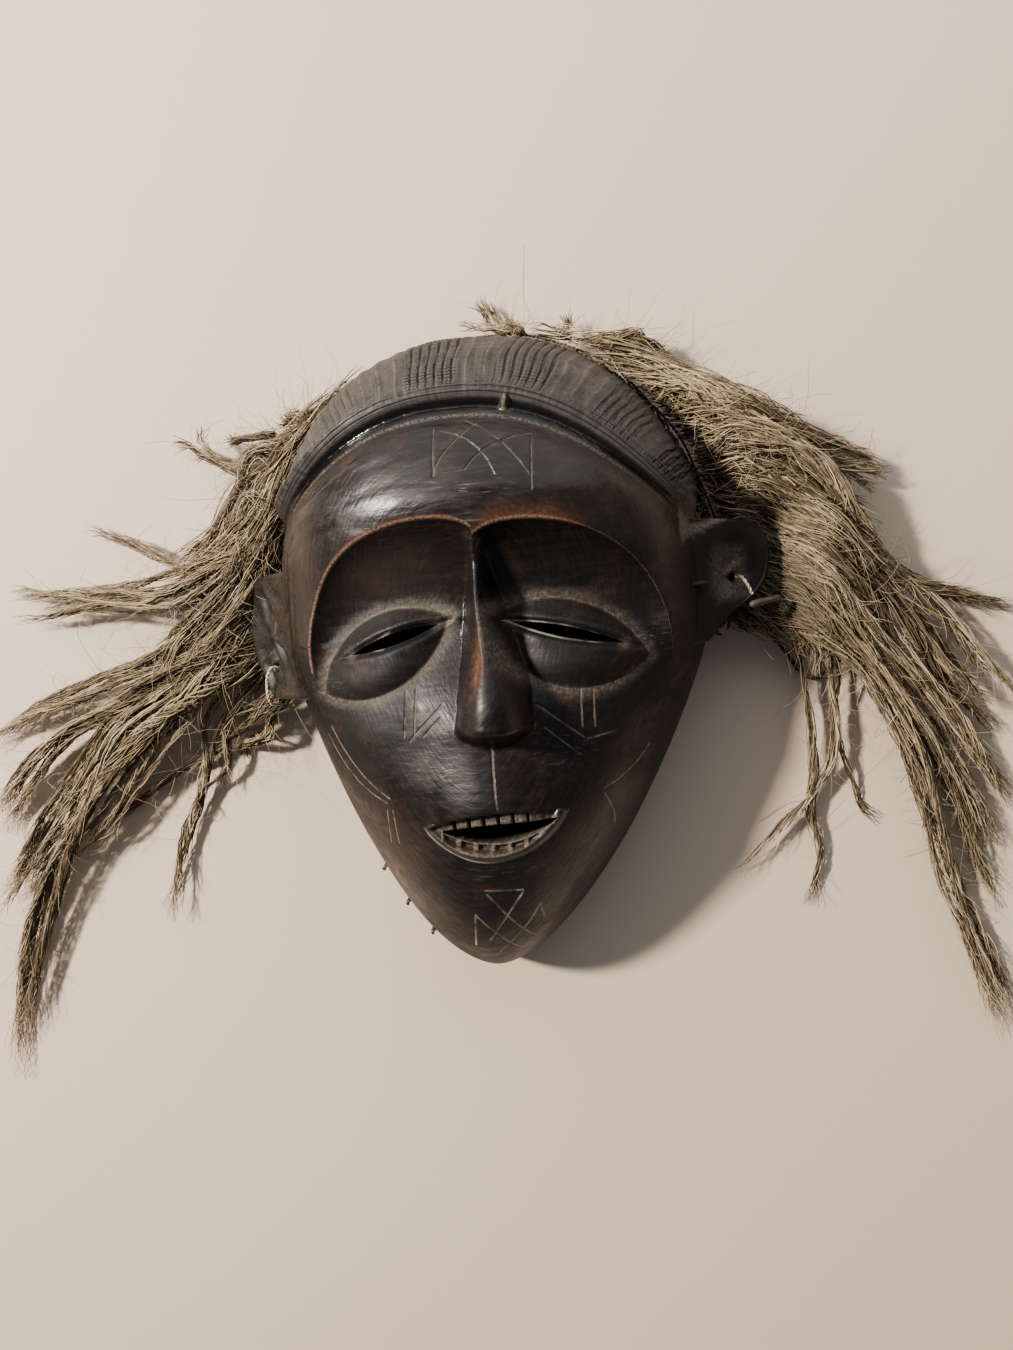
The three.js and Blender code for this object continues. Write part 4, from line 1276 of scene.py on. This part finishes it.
LOCKS = {
    "lock_left_top": (
        bundle((136, 124), 9, (7, 5), (-74, 105, 20), (-88, 102, 22), (-99, 103, 16), (-106, 104, 12)),
        bundle((128, 116), 5, (3, 3), (-62, 116, 16), (-75, 112, 18), (-87, 113, 12), twisted=False),
        bundle((140, 133), 3, (3, 1), (-81, 95, 18), (-98, 96, 16), (-115, 98, 12), (-135, 109, 6)),
        bundle((142, 136), 1, (1, 1), (-84, 92, 18), (-105, 94, 14), (-120, 109, 8), (-128, 124, 4)),
    ),
    "lock_left_single": (
        bundle((156, 150), 1, (1, 1), (-92, 56, 26), (-112, 50, 20), (-135, 59, 14), (-166, 72, 9),
               (-192, 81, 4)),
        bundle((160, 152), 1, (1, 1), (-94, 54, 26), (-114, 49, 19), (-137, 58, 13), (-160, 70, 9),
               (-188, 79, 4)),
    ),
    "lock_left_upper": (
        bundle((134, 112), 13, (7, 5), (-66, 108, 20), (-84, 94, 27), (-99, 79, 26), (-113, 63, 22),
               (-130, 54, 16), twisted=False),
        bundle((146, 126), 15, (8, 6), (-76, 94, 22), (-88, 78, 29), (-99, 62, 29), (-113, 50, 25),
               (-140, 45, 17), twisted=False),
        bundle((142, 124), 9, (6, 4), (-80, 88, 22), (-97, 68, 28), (-119, 54, 24), (-167, 50, 13),
               (-224, 55, 5), shortest=0.7),
        bundle((150, 134), 8, (6, 3), (-84, 74, 24), (-101, 56, 30), (-128, 47, 24), (-172, 45, 13),
               (-216, 44, 5), shortest=0.6),
    ),
    "lock_left_middle": (
        bundle((160, 138), 14, (8, 6), (-84, 78, 22), (-92, 61, 28), (-104, 46, 30), (-120, 33, 27),
               (-144, 16, 20), twisted=False),
        bundle((150, 130), 14, (6, 3), (-84, 71, 22), (-105, 42, 30), (-135, 20, 24), (-178, 7, 16),
               (-210, -2, 10), (-236, -14, 5)),
        bundle((162, 144), 16, (7, 5), (-92, 56, 22), (-112, 25, 30), (-152, 6, 22), (-197, -15, 13),
               (-230, -44, 6), (-236, -55, 5)),
    ),
    "lock_left_long": (
        bundle((172, 152), 14, (7, 7), (-92, 52, 20), (-106, 36, 26), (-122, 20, 27),
               (-146, 2, 22), twisted=False),
        bundle((174, 154), 20, (8, 4), (-98, 39, 24), (-120, 15, 28), (-160, -6, 21), (-193, -40, 14),
               (-218, -68, 9), (-242, -92, 6)),
        bundle((180, 162), 22, (8, 3), (-99, 29, 20), (-126, 4, 26), (-157, -14, 21), (-184, -40, 15),
               (-205, -70, 10), (-224, -110, 7), (-238, -168, 5), shortest=0.55),
        bundle((178, 166), 6, (8, 7), (-104, 20, 20), (-132, -6, 22), (-160, -30, 14), (-190, -58, 9),
               (-228, -76, 5), shortest=0.6),
    ),
    "lock_left_low": (
        bundle((192, 186), 5, (2, 1), (-91, -3, 11), (-109, -12, 10), (-140, -27, 9), (-168, -44, 7),
               (-186, -50, 4), shortest=0.9),
        bundle((189, 184), 4, (2, 3), (-92, -1, 13), (-99, -10, 14), (-108, -20, 9),
               (-118, -34, 5), shortest=0.7),
        bundle((182, 176), 2, (2, 1.5), (-108, 14, 18), (-123, -16, 12), (-131, -38, 9),
               (-144, -57, 7), (-156, -88, 5), (-167, -106, 4)),
        bundle((184, 178), 2, (2, 2), (-110, 12, 16), (-130, -6, 10), (-132, -31, 8), (-147, -66, 6),
               (-160, -96, 4)),
        bundle((186, 180), 2, (2, 4), (-108, 8, 14), (-119, -12, 12), (-118, -30, 8), (-136, -50, 6),
               (-131, -74, 4), shortest=0.6),
    ),
    "lock_crown_left": (
        bundle((80, 92), 3, (2.5, 2.5), (28, 133, 14), (16, 139, 12), (6, 147, 8), (-1, 156, 5)),
    ),
    "lock_crown_right": (
        bundle((78, 75), 2, (1.5, 1), (40, 131, 14), (38, 137, 10), (37, 145, 5)),
        bundle((75, 62), 8, (3, 3), (47, 126, 16), (60, 126, 20), (78, 122, 12), shortest=0.7),
    ),
    "lock_right_top": (
        bundle((68, 54), 12, (5, 5), (62, 117, 20), (77, 111, 28), (93, 101, 32), (110, 91, 30),
               (126, 84, 22), shortest=0.7, twisted=False),
        bundle((62, 47), 14, (7, 3), (72, 110, 24), (89, 101, 33), (108, 90, 33), (129, 79, 24),
               (144, 73, 16), (160, 62, 7)),
        bundle((52, 38), 12, (8, 5), (82, 100, 26), (98, 93, 35), (112, 85, 33), (128, 77, 24),
               (144, 70, 14), shortest=0.7, twisted=False),
    ),
    "lock_right_upper": (
        bundle((48, 32), 12, (8, 6), (90, 88, 28), (104, 83, 36), (120, 73, 33), (134, 58, 26),
               (146, 42, 20), twisted=False),
        bundle((48, 34), 13, (7, 2.5), (90, 88, 28), (106, 82, 36), (123, 73, 31), (139, 51, 24),
               (160, 29, 14), (204, 12, 6)),
        bundle((42, 30), 3, (4, 1.5), (98, 78, 26), (112, 70, 32), (134, 52, 28), (158, 28, 16),
               (180, 8, 9), (204, 2, 5)),
    ),
    "lock_right_outer": (
        bundle((36, 22), 13, (8, 7), (98, 68, 24), (112, 60, 33), (128, 46, 30),
               (143, 26, 24), twisted=False),
        bundle((36, 24), 15, (6, 3.5), (99, 70, 26), (114, 62, 35), (132, 46, 30), (158, 18, 20),
               (180, -8, 11), (206, -34, 6)),
        bundle((30, 16), 15, (6, 3.5), (102, 60, 24), (118, 48, 33), (137, 24, 28), (162, -10, 18),
               (182, -38, 11), (202, -68, 6)),
        bundle((26, 12), 14, (6, 3.5), (105, 52, 22), (120, 39, 31), (139, 9, 24), (161, -23, 16),
               (178, -52, 9), (196, -88, 6)),
    ),
    "lock_right_long": (
        bundle((22, 8), 9, (6, 5), (107, 46, 20), (119, 34, 27), (132, 14, 26),
               (146, -8, 20), twisted=False),
        bundle((22, 8), 13, (5, 2.5), (108, 46, 20), (129, 22, 26), (150, -14, 18), (163, -44, 11),
               (172, -78, 8), (181, -116, 6), (197, -160, 5)),
        bundle((16, 6), 8, (4, 2.5), (110, 42, 16), (133, 12, 22), (150, -22, 16), (163, -58, 10),
               (171, -94, 7), (190, -140, 5), shortest=0.6),
        bundle((20, 8), 6, (4, 4), (108, 44, 18), (133, 13, 22), (155, -22, 16), (173, -60, 10),
               (185, -90, 7), (203, -122, 5), shortest=0.6),
    ),
    "lock_right_inner": (
        bundle((12, 4), 6, (5, 4), (108, 34, 14), (114, 18, 18), (122, 4, 15),
               (127, -12, 10), shortest=0.6, twisted=False),
        bundle((14, 6), 3, (1.5, 1.2), (108, 42, 14), (117, 12, 14), (119, -14, 10), (122, -43, 7),
               (122, -64, 5), (127, -82, 5), (123, -106, 4)),
        bundle((12, 4), 4, (1.5, 1.5), (112, 38, 14), (130, 9, 14), (134, -15, 10), (131, -37, 8),
               (120, -58, 6), (106, -70, 5), (89, -88, 4)),
        bundle((14, 6), 1, (1, 1), (112, 38, 14), (134, -3, 13), (136, -29, 9), (139, -54, 6),
               (145, -67, 4), (170, -78, 4)),
        bundle((8, 2), 1, (1, 1), (104, 30, 8), (112, 4, 9), (120, -8, 8), (131, -8, 7), (138, 2, 5)),
    ),
}
STRANDS_IN_YARN = 9
STRAND_RADIUS = 0.25
YARN_RADIUS = 0.8
STRAND_STEP = 6.2
YARNS_IN_CLUMP = 4
ROUTE_STEPS = 60
LEFT_OF_CROWN = 95
HAIR_RADIUS = 0.12
HAIR_STEPS = 7
HAIRS_TO_A_YARN = 11


def length_along(lines):
    """The way from each line's start to every one of its points."""
    steps = np.linalg.norm(np.diff(lines, axis=-2), axis=-1)
    return np.concatenate([np.zeros((*steps.shape[:-1], 1)), np.cumsum(steps, axis=-1)], axis=-1)


def curve_through(points, count):
    """A smooth curve through every point, evenly stepped, and its length."""
    points = np.array(points, float)
    ends = np.vstack([2 * points[0] - points[1], points, 2 * points[-1] - points[-2]])
    share = np.linspace(0, 1, 24, endpoint=False)[:, None]
    parts = []
    for a, b, c, d in zip(ends, ends[1:], ends[2:], ends[3:]):
        bend = (2 * a - 5 * b + 4 * c - d) * share**2 + (3 * b - a - 3 * c + d) * share**3
        parts.append(b + 0.5 * ((c - a) * share + bend))
    fine = np.vstack([*parts, points[-1:]])
    reach = length_along(fine)
    even = np.linspace(0, reach[-1], count)
    return np.stack([np.interp(even, reach, values) for values in fine.T], -1), reach[-1]


def square_to(lines, given):
    """Two directions square to each line, the first of them square to a given direction too."""
    tangent = unit(np.gradient(lines, axis=-2))
    side = unit(np.cross(tangent, given))
    return side, np.cross(tangent, side)


def tubes(lines, radii, sides):
    """Closed thin tubes along many lines at once: lines are (line, step, xyz) and radii (line, step)."""
    side, other = square_to(lines, [0.21, 0.13, 0.97])
    turns = np.arange(sides)[:, None] * 2 * np.pi / sides
    ring = np.cos(turns) * side[:, :, None, :] + np.sin(turns) * other[:, :, None, :]
    points = lines[:, :, None, :] + radii[:, :, None, None] * ring
    number = np.arange(radii.size * sides).reshape(*radii.shape, sides)
    here, there = number[:, :-1], number[:, 1:]
    quads = np.stack([here, np.roll(here, -1, 2), np.roll(there, -1, 2), there], -1).reshape(-1, 4)
    caps = np.concatenate([number[:, 0, ::-1], number[:, -1]])
    return points.reshape(-1, 3), quads.tolist() + caps.tolist()


def tube_object(name, groups, sides):
    points, faces = [], []
    start = 0
    for lines, radii in groups:
        spots, loops = tubes(lines, radii, sides)
        faces += [[start + corner for corner in loop] for loop in loops]
        points.append(spots)
        start += len(spots)
    return new_object(name, np.vstack(points), faces)


def wander(random, count, steps, size, waves):
    """Slow sideways drift for many lines, smooth along each."""
    share = np.linspace(0, 1, steps)[None, :, None]
    total = np.zeros((count, steps, 3))
    for wave in range(1, waves + 1):
        swing = random.normal(size=(count, 1, 3)) / wave
        total += swing * np.sin(np.pi * wave * share + random.uniform(0, 6.3, (count, 1, 3)))
    return total * size


def yarn_roots(random, part, across):
    """Each yarn's own place on the rim."""
    count = part["yarns"]
    start, end = part["rim"]
    turns = np.radians(start + (end - start) * (across + 1) / 2 + random.normal(0, 1.5, count))
    if start > LEFT_OF_CROWN:
        heights = random.uniform(15, 22, count)
        return beside_rim(turns, random.uniform(2.5, 6, count), heights)
    heights = random.uniform(10, 17, count)
    return beside_rim(turns[::-1], random.uniform(7.5, 10.5, count), heights)


def yarn_lines(random, part):
    """The middle lines of a bundle's yarns, which gather in clumps on their way along its route."""
    base, length = curve_through(part["route"], ROUTE_STEPS)
    count = part["yarns"]
    steps = int(length / STRAND_STEP) + 8
    share = np.linspace(0, 1, steps)
    reach = share * random.uniform(part["shortest"], 1.0, count)[:, None]
    line = np.stack([np.interp(reach, np.linspace(0, 1, ROUTE_STEPS), values) for values in base.T], -1)
    side = square_to(line, [0, 0, -1])[0]
    across = np.linspace(-1, 1, count) if count > 1 else np.zeros(1)
    clumps = max(1, count // YARNS_IN_CLUMP)
    clump = np.minimum((np.arange(count) * clumps) // count, clumps - 1)
    clump_across = (2 * clump + 1) / clumps - 1 + random.normal(0, 0.1, clumps)[clump]
    shuffled = 0.35 * across + 0.65 * clump_across + random.normal(0, 0.11, count)
    wide, narrow = part["widths"]
    width = np.interp(share, [0, 0.25, 1], [wide, wide, narrow])
    line = line + side * (shuffled[:, None] * width)[..., None]
    line[..., 2] += random.uniform(-1, 1, count)[:, None] * np.minimum(0.45 * width, 0.5 * line[..., 2])
    drift = wander(random, clumps, steps, 2.2, 5)[clump] + wander(random, count, steps, 0.8, 5)
    line += drift * smooth(0.1, 0.5, share)[None, :, None]
    hold = 1 - smooth(0, 0.34, share)
    line += (yarn_roots(random, part, across) - line[:, 0])[:, None, :] * hold[None, :, None]
    roll = np.sin(np.pi * np.clip(share / 0.3, 0, 1)) * min(4.5, length / 16)
    line[..., 2] += roll[None, :] * random.uniform(0.3, 1.2, (count, 1))
    return line, share


def under_ear(random, strands):
    """Strands that pass the right ear run beneath it, at their own depths."""
    ear = EARS[1]
    root_x, root_y, root_z = ear["root"]
    x, y, z = np.moveaxis(strands, -1, 0)
    depth = 6 + 8 * random.random((len(strands), 1))
    beneath = root_z - (np.clip(x, 74, 110) - root_x) * math.tan(ear["sweep"]) - depth
    beside = smooth(36, 24, np.abs(y - root_y + 2)) * smooth(130, 108, x)
    strands[..., 2] -= beside * np.maximum(0, z - beneath)
    return strands


def strand_lines(random, line, share, twisted):
    """The strands that twist together into each yarn, loose at both ends."""
    count, steps, _ = line.shape
    side, other = square_to(line, [0, 0, -1])
    along = length_along(line)
    pitch = random.uniform(26, 60, (count, 1)) * random.choice([-1, 1], (count, 1)) * (1 if twisted else 6)
    thickness = random.uniform(0.55, 1.2, (count, 1)) * (1 if twisted else 2.6)
    ends = 2.2 * (1 - smooth(0.04, 0.34, share)) + 2.6 * smooth(0.86, 1, share) ** 2
    strands = []
    for strand in range(STRANDS_IN_YARN):
        start = strand / (STRANDS_IN_YARN - 1) + random.uniform(-0.08, 0.08, (count, 1))
        turn = 2 * np.pi * (start + along / pitch)
        out = YARN_RADIUS * (0.15 if strand == STRANDS_IN_YARN - 1 else 1)
        out = out * (thickness + ends) * random.uniform(0.7, 1.35, (count, 1))
        path = line + side * (np.cos(turn) * out)[..., None] + other * (np.sin(turn) * out * 0.8)[..., None]
        path += wander(random, count, steps, 0.36, 8) + random.normal(0, 0.2, (count, steps, 3))
        strands.append(path)
    strands = under_ear(random, np.concatenate(strands))
    strands[..., 2] = np.maximum(strands[..., 2], 0.5 + 0.2 * random.random(strands.shape[:2]))
    thick = STRAND_RADIUS * random.uniform(0.55, 1.25, (len(strands), 1))
    radii = thick * (0.25 + 0.75 * smooth(0, 0.02, share)) * (1 - 0.8 * smooth(0.9, 1, share))
    return strands, radii


def stray_hairs(random, strands, count):
    """Single fibres that have sprung out of the yarns and curl away."""
    pick = random.integers(0, len(strands), count)
    where = (random.uniform(0.08, 0.97, count) * (strands.shape[1] - 2)).astype(int)
    start = strands[pick, where]
    heading = unit(strands[pick, where + 1] - start) + random.normal(0, 0.55, (count, 3)) * [1, 1, 0.6]
    curl = random.normal(0, 0.32, (count, 3)) * [1, 1, 0.5]
    step = random.uniform(1.1, 3.2, (count, 1)) * (1 + 1.4 * (random.random((count, 1)) > 0.92))
    path = [start]
    for _ in range(HAIR_STEPS - 1):
        heading = unit(heading + curl * 0.55 + random.normal(0, 0.16, (count, 3)))
        path.append(path[-1] + heading * step)
    path = under_ear(random, np.stack(path, 1))
    path[..., 2] = np.maximum(path[..., 2], 0.3)
    return path, HAIR_RADIUS * random.uniform(0.6, 1.3, (count, 1)) * np.linspace(1, 0.45, HAIR_STEPS)


def fibre_object(name, groups):
    """One mesh of many strands, with each strand's tone and its way along kept as colour."""
    piece = tube_object(name, [(lines, radii) for lines, radii, _ in groups], 3)
    tones, ways = [], []
    for lines, _, tone in groups:
        ring = np.ones((1, 1, 3))
        along = np.linspace(0, 1, lines.shape[1])[None, :, None]
        tones.append((tone[:, None, None] * np.ones_like(along) * ring).ravel())
        ways.append((np.ones((len(lines), 1, 1)) * along * ring).ravel())
    x, y, _ = points_of(piece).T
    # Painted shade: the strands beside the right ear are painted darker.
    painted_shade_by_ear = mound(x, y, (117, 20), (17, 30))
    paint_points(piece, "finish", [np.concatenate(tones), np.concatenate(ways), painted_shade_by_ear, np.ones(len(x))])
    return piece


def fibre_material():
    """Khaki fibre, mottled, browner at the roots, with painted shade beside the right ear."""
    material, tree, shader = new_material("khaki_fibre", 0.5)
    tone, along, painted_shade_by_ear, _ = painted(tree, "finish")
    mottle = grain(tree, 160, 3)
    mixed = maths("ADD", times(tone, 0.85), times(mottle, 0.35))
    dark, middle, pale = (0.042, 0.030, 0.017), (0.215, 0.160, 0.098), (0.62, 0.50, 0.345)
    color = ramp(mixed, (0.22, dark), (0.54, middle), (0.93, pale))
    root = without(times(along, 7.0))
    color = layered(
        color,
        (times(root, 0.5), (0.060, 0.044, 0.027)),
        # painted shade beside the right ear
        (times(painted_shade_by_ear, 0.6), (0.075, 0.056, 0.035)),
    )
    tree.links.new(color, shader.inputs["Base Color"])
    shader.inputs["Specular IOR Level"].default_value = 0.35
    rough = ramp(mottle, (0.3, grey(0.42)), (0.7, grey(0.62)))
    tree.links.new(rough, shader.inputs["Roughness"])
    return material


fibre = fibre_material()
random = np.random.default_rng(41)
for name, parts in LOCKS.items():
    groups = []
    for part in parts:
        line, share = yarn_lines(random, part)
        strands, radii = strand_lines(random, line, share, part["twisted"])
        yarn_tones = np.tile(random.random(part["yarns"]), STRANDS_IN_YARN)
        groups.append((strands, radii, 0.5 * yarn_tones + 0.5 * random.random(len(strands))))
        hairs, hair_radii = stray_hairs(random, strands, HAIRS_TO_A_YARN * part["yarns"])
        groups.append((hairs, hair_radii, 0.4 + 0.6 * random.random(len(hairs))))
    finish_piece(fibre_object(name.replace("lock", "fibres"), groups), fibre, name)


# The net: loops of dark twisted cord round the rim, from ear to ear over the crown, that hold the wig on.
# Four rows of loops catch into each other, and a plain cord runs round outside them and one along the top.
# Each row is given by its distance outside the rim and its height.
NET_START = -6
NET_END = 190
NET_ROWS = ((2.6, 4.2), (4.6, 8.2), (4.4, 12), (2.8, 15.2))
PLAIN_CORDS = ((6.9, 10.2), (3.2, 15.9))
LOOP_PITCH = 7.2
NET_CORD_RADIUS = 0.62
# How far from the middle a ply lies and how thick it is, as parts of the radius of two- and three-ply cord.
PLY_SIZES = {2: (0.5, 0.56), 3: (0.54, 0.5)}


def plied(line, radius, plies, pitch):
    """Plies that wind round a cord's middle line."""
    side, other = square_to(line, [0.31, 0.17, 0.93])
    out, thick = PLY_SIZES[plies]
    lines = []
    for ply in range(plies):
        turn = 2 * np.pi * (ply / plies + length_along(line) / pitch)
        lines.append(line + radius * out * (np.cos(turn)[:, None] * side + np.sin(turn)[:, None] * other))
    return np.stack(lines), np.full((plies, len(line)), radius * thick)


def net_cords():
    cords = []
    arc = np.radians(np.linspace(NET_START, NET_END, 2400))
    length = length_along(beside_rim(arc, np.full_like(arc, 4), np.zeros_like(arc)))
    run = np.linspace(4, length[-1] - 4, int(length[-1] / LOOP_PITCH * 12))
    for row, (distance, height) in enumerate(NET_ROWS):
        swing = 2 * np.pi * run / LOOP_PITCH + row * np.pi + 0.5 * np.sin(run / 11 + row)
        turn = np.interp(run + 2.9 * np.sin(swing), length, arc)
        out = distance + 1.15 * np.sin(2 * swing) + 0.35 * np.sin(run / 5.7 + 2 * row)
        up = height + 2.5 * np.cos(swing) + 0.5 * np.sin(run / 7.3 + row)
        cords.append(beside_rim(turn, out, np.clip(up, 2.3, 16.6)))
    run = np.linspace(4, length[-1] - 4, 420)
    for distance, height in PLAIN_CORDS:
        turn = np.interp(run, length, arc)
        out = distance + 0.5 * np.sin(run / 6.1 + distance)
        cords.append(beside_rim(turn, out, height + 0.8 * np.sin(run / 9.4)))
    return cords


def frayed_end(random, count, steps=9):
    """Fibres of the net's last cord that stand out under the right ear's toggle."""
    share = np.linspace(0, 1, steps)[None, :, None]
    start = np.array([87, 22.5, 18]) + random.normal(0, 1.1, (count, 1, 3))
    reach = np.array([14, -7.5, -2.5]) * random.uniform(0.5, 1.25, (count, 1, 1))
    reach = reach + random.normal(0, 2.6, (count, 1, 3))
    sag = np.array([0, -3.5, 0]) * share * (1 - share)
    lines = start + reach * share + sag + wander(random, count, steps, 0.5, 4) * share
    return lines, 0.17 * random.uniform(0.7, 1.3, (count, 1)) * np.ones((count, steps))


def cord_material(name, dark, light, scale=420):
    material, tree, shader = new_material(name, 0.8)
    twist = ramp(grain(tree, scale, 3), (0.32, dark), (0.7, light))
    tree.links.new(twist, shader.inputs["Base Color"])
    fuzz = node(tree, "ShaderNodeBump", Height=grain(tree, 1500, 2), Strength=0.5, Distance=0.0003)
    tree.links.new(fuzz.outputs["Normal"], shader.inputs["Normal"])
    return material


dark_cord = cord_material("dark_cord", (0.040, 0.032, 0.020), (0.21, 0.17, 0.11))
net_parts = [plied(cord, NET_CORD_RADIUS, 2, 3.4) for cord in net_cords()]
net = tube_object("net", [*net_parts, frayed_end(random, 70)], 4)
finish_piece(net, dark_cord, "wig_net")


# The ear strings: pale two-ply thread through the hole in each ear.
# The right one is tied round a short grey stick, and the left one runs down behind the ear to the wig.
# Each has its steps out, up and forward from the hole.
STRING_RADIUS = 0.62
STRINGS = {
    "ear_string_right": (EARS[1], ((0, 0, -2), (0, 0, 1.6), (1.2, -3.4, 3.6), (3, -6.8, 3.6))),
    "ear_string_left": (EARS[0], ((0, 0, -2), (0, 0, 1.6), (1, -5, 3.4), (2, -13.5, 2.2))),
}
LEFT_STRING_END = (-92.5, -4.6, 17.2)
pale_string = cord_material("pale_string", (0.42, 0.34, 0.24), (0.74, 0.66, 0.52), 900)
for name, (ear, steps) in STRINGS.items():
    route = list(ear_place(ear, np.add((*ear["hole"], 0), steps)))
    if ear["side"] < 0:
        route.append(LEFT_STRING_END)
    line = curve_through(route, 60)[0]
    string = tube_object(name + "_twist", [plied(line, STRING_RADIUS, 2, 3.6)], 6)
    finish_piece(string, pale_string, name)


# The toggle: a short cut twig, weathered grey, with a paler end where it was cut.
# Its middle is given out, up and forward from the right ear's root.
TOGGLE_RADIUS = 1.4
TOGGLE_LENGTH = 15
TOGGLE_MIDDLE = (35, -11.4, 3.4)
TOGGLE_TILT = math.radians(7)


def toggle_stick():
    """The twig in rings from end to end, with uneven bark and rounded-off ends."""
    turns = np.linspace(0, 2 * np.pi, 20, endpoint=False)
    rings = []
    for share in np.linspace(0, 1, 26):
        ends = min(1, share * 18, (1 - share) * 18) ** 0.5 if 0 < share < 1 else 0.62
        bark = 0.10 * np.sin(5 * turns + 3 * share) + 0.07 * np.sin(9 * turns - 8 * share) - 0.12
        radius = (TOGGLE_RADIUS + bark + 0.12 * math.sin(7 * share)) * ends
        along, across = (share - 0.5) * TOGGLE_LENGTH, radius * np.cos(turns)
        out = along * math.cos(TOGGLE_TILT) - across * math.sin(TOGGLE_TILT)
        up = along * math.sin(TOGGLE_TILT) + across * math.cos(TOGGLE_TILT)
        rings.append(np.stack([out, up, radius * np.sin(turns)], -1) + TOGGLE_MIDDLE)
    return skin("toggle_stick", ear_place(EARS[1], rings), True)


def stick_material():
    material, tree, shader = new_material("grey_stick", 0.55)
    streaks = grain(tree, 500, 4, (0.25, 1, 1))
    bark = ramp(streaks, (0.3, (0.040, 0.034, 0.024)), (0.7, (0.150, 0.130, 0.095)))
    color = blend(painted(tree, "finish")[0], bark, (0.62, 0.60, 0.50))
    tree.links.new(color, shader.inputs["Base Color"])
    return material


stick = toggle_stick()
middle, beside = ear_place(EARS[1], [TOGGLE_MIDDLE, np.add(TOGGLE_MIDDLE, (1, 0, 0))])
along = (points_of(stick) - middle) @ (beside - middle)
cut_end = smooth(TOGGLE_LENGTH / 2 - 0.6, TOGGLE_LENGTH / 2, along)
paint_points(stick, "finish", [cut_end, cut_end, cut_end, np.ones(len(along))])
finish_piece(stick, stick_material(), "toggle")


# The cord ends: a thick brown tie that comes out under the left ear, and dark threads in the rim's holes.
# All are the net's own cord, cut off and left.
# A thread has its steps outwards and up from its hole.
TIE_ROUTE = ((-89.5, -1.5, 11.5), (-94, -3, 14.2), (-102, -5, 14.3), (-109, -8, 13.2))
TIE_RADIUS = 2.0
THREAD_STEPS = ((-5, 0), (0.6, 0), (2.6, 3), (1.6, 7), (3.4, 9), (2.2, 11.5), (4.2, 13))
THREAD_RADIUS = 0.9
brown_cord = cord_material("brown_cord", (0.035, 0.022, 0.012), (0.17, 0.11, 0.06))
tie_line = curve_through(TIE_ROUTE, 70)[0]
tie = tube_object("wig_tie_left_twist", [plied(tie_line, TIE_RADIUS, 3, 9.0)], 8)
finish_piece(tie, brown_cord, "wig_tie_left")
for number, degrees in enumerate(LACING_TURNS, 1):
    route = [beside_rim(math.radians(degrees), out, LACING_HEIGHT + up) for out, up in THREAD_STEPS]
    line = curve_through(route, 30)[0]
    thread = tube_object(f"rim_thread_{number}_twist", [plied(line, THREAD_RADIUS, 2, 4.0)], 6)
    finish_piece(thread, dark_cord, f"rim_thread_{number}")


# A pale sheet to lie on, soft light from the upper left and a wide, faint glow from beyond the crown.
# The camera looks down on the face from a little above the chin, as the photograph does.
CAMERA_DISTANCE = 0.430
CAMERA_YAW = math.radians(7)
CAMERA_PITCH = math.radians(-3)
CAMERA_ROLL = math.radians(-4.5)
bpy.ops.mesh.primitive_plane_add(size=6)
floor = bpy.context.object
floor.name = "floor"
floor_material, _, floor_shader = new_material("floor_paper", 0.7)
floor_shader.inputs["Base Color"].default_value = (0.66, 0.53, 0.42, 1)
floor.data.materials.append(floor_material)

world = bpy.data.worlds.new("room")
bpy.context.scene.world = world
world.use_nodes = True
world.node_tree.nodes["Background"].inputs["Color"].default_value = (0.86, 0.92, 1.0, 1)
world.node_tree.nodes["Background"].inputs["Strength"].default_value = 0.2


def lamp(name, place, target, size, power, color):
    light = bpy.data.lights.new(name, "AREA")
    light.shape = "RECTANGLE"
    light.size, light.size_y = size
    light.energy = power
    light.color = color
    piece = bpy.data.objects.new(name, light)
    piece.location = place
    piece.rotation_euler = (Vector(target) - Vector(place)).to_track_quat("-Z", "Y").to_euler()
    bpy.context.scene.collection.objects.link(piece)


lamp("window", (-1.05, 0.5, 1.3), (0, 0, 0), (0.15, 0.15), 48, (1.0, 0.94, 0.86))
lamp("wall_glow", (0.0, 0.62, 0.42), (0, 0, 0.05), (1.6, 0.8), 5, (0.94, 0.97, 1.0))

turned = Matrix.Rotation(CAMERA_YAW, 3, "Y") @ Matrix.Rotation(CAMERA_PITCH, 3, "X")
turned = turned @ Matrix.Rotation(CAMERA_ROLL, 3, "Z")
view = bpy.data.cameras.new("camera")
view.sensor_fit = "VERTICAL"
view.sensor_height = 36
view.lens = 36 * 1015 / 1350
view.clip_start = 0.01
camera = bpy.data.objects.new("camera", view)
aim = Vector((float(to_table_x), float(to_table_y), 0))
camera.matrix_world = Matrix.Translation(aim + turned.col[2] * CAMERA_DISTANCE) @ turned.to_4x4()
bpy.context.scene.collection.objects.link(camera)
bpy.context.scene.camera = camera
bpy.context.scene.view_settings.view_transform = "AgX"
bpy.context.scene.view_settings.look = "AgX - Medium High Contrast"
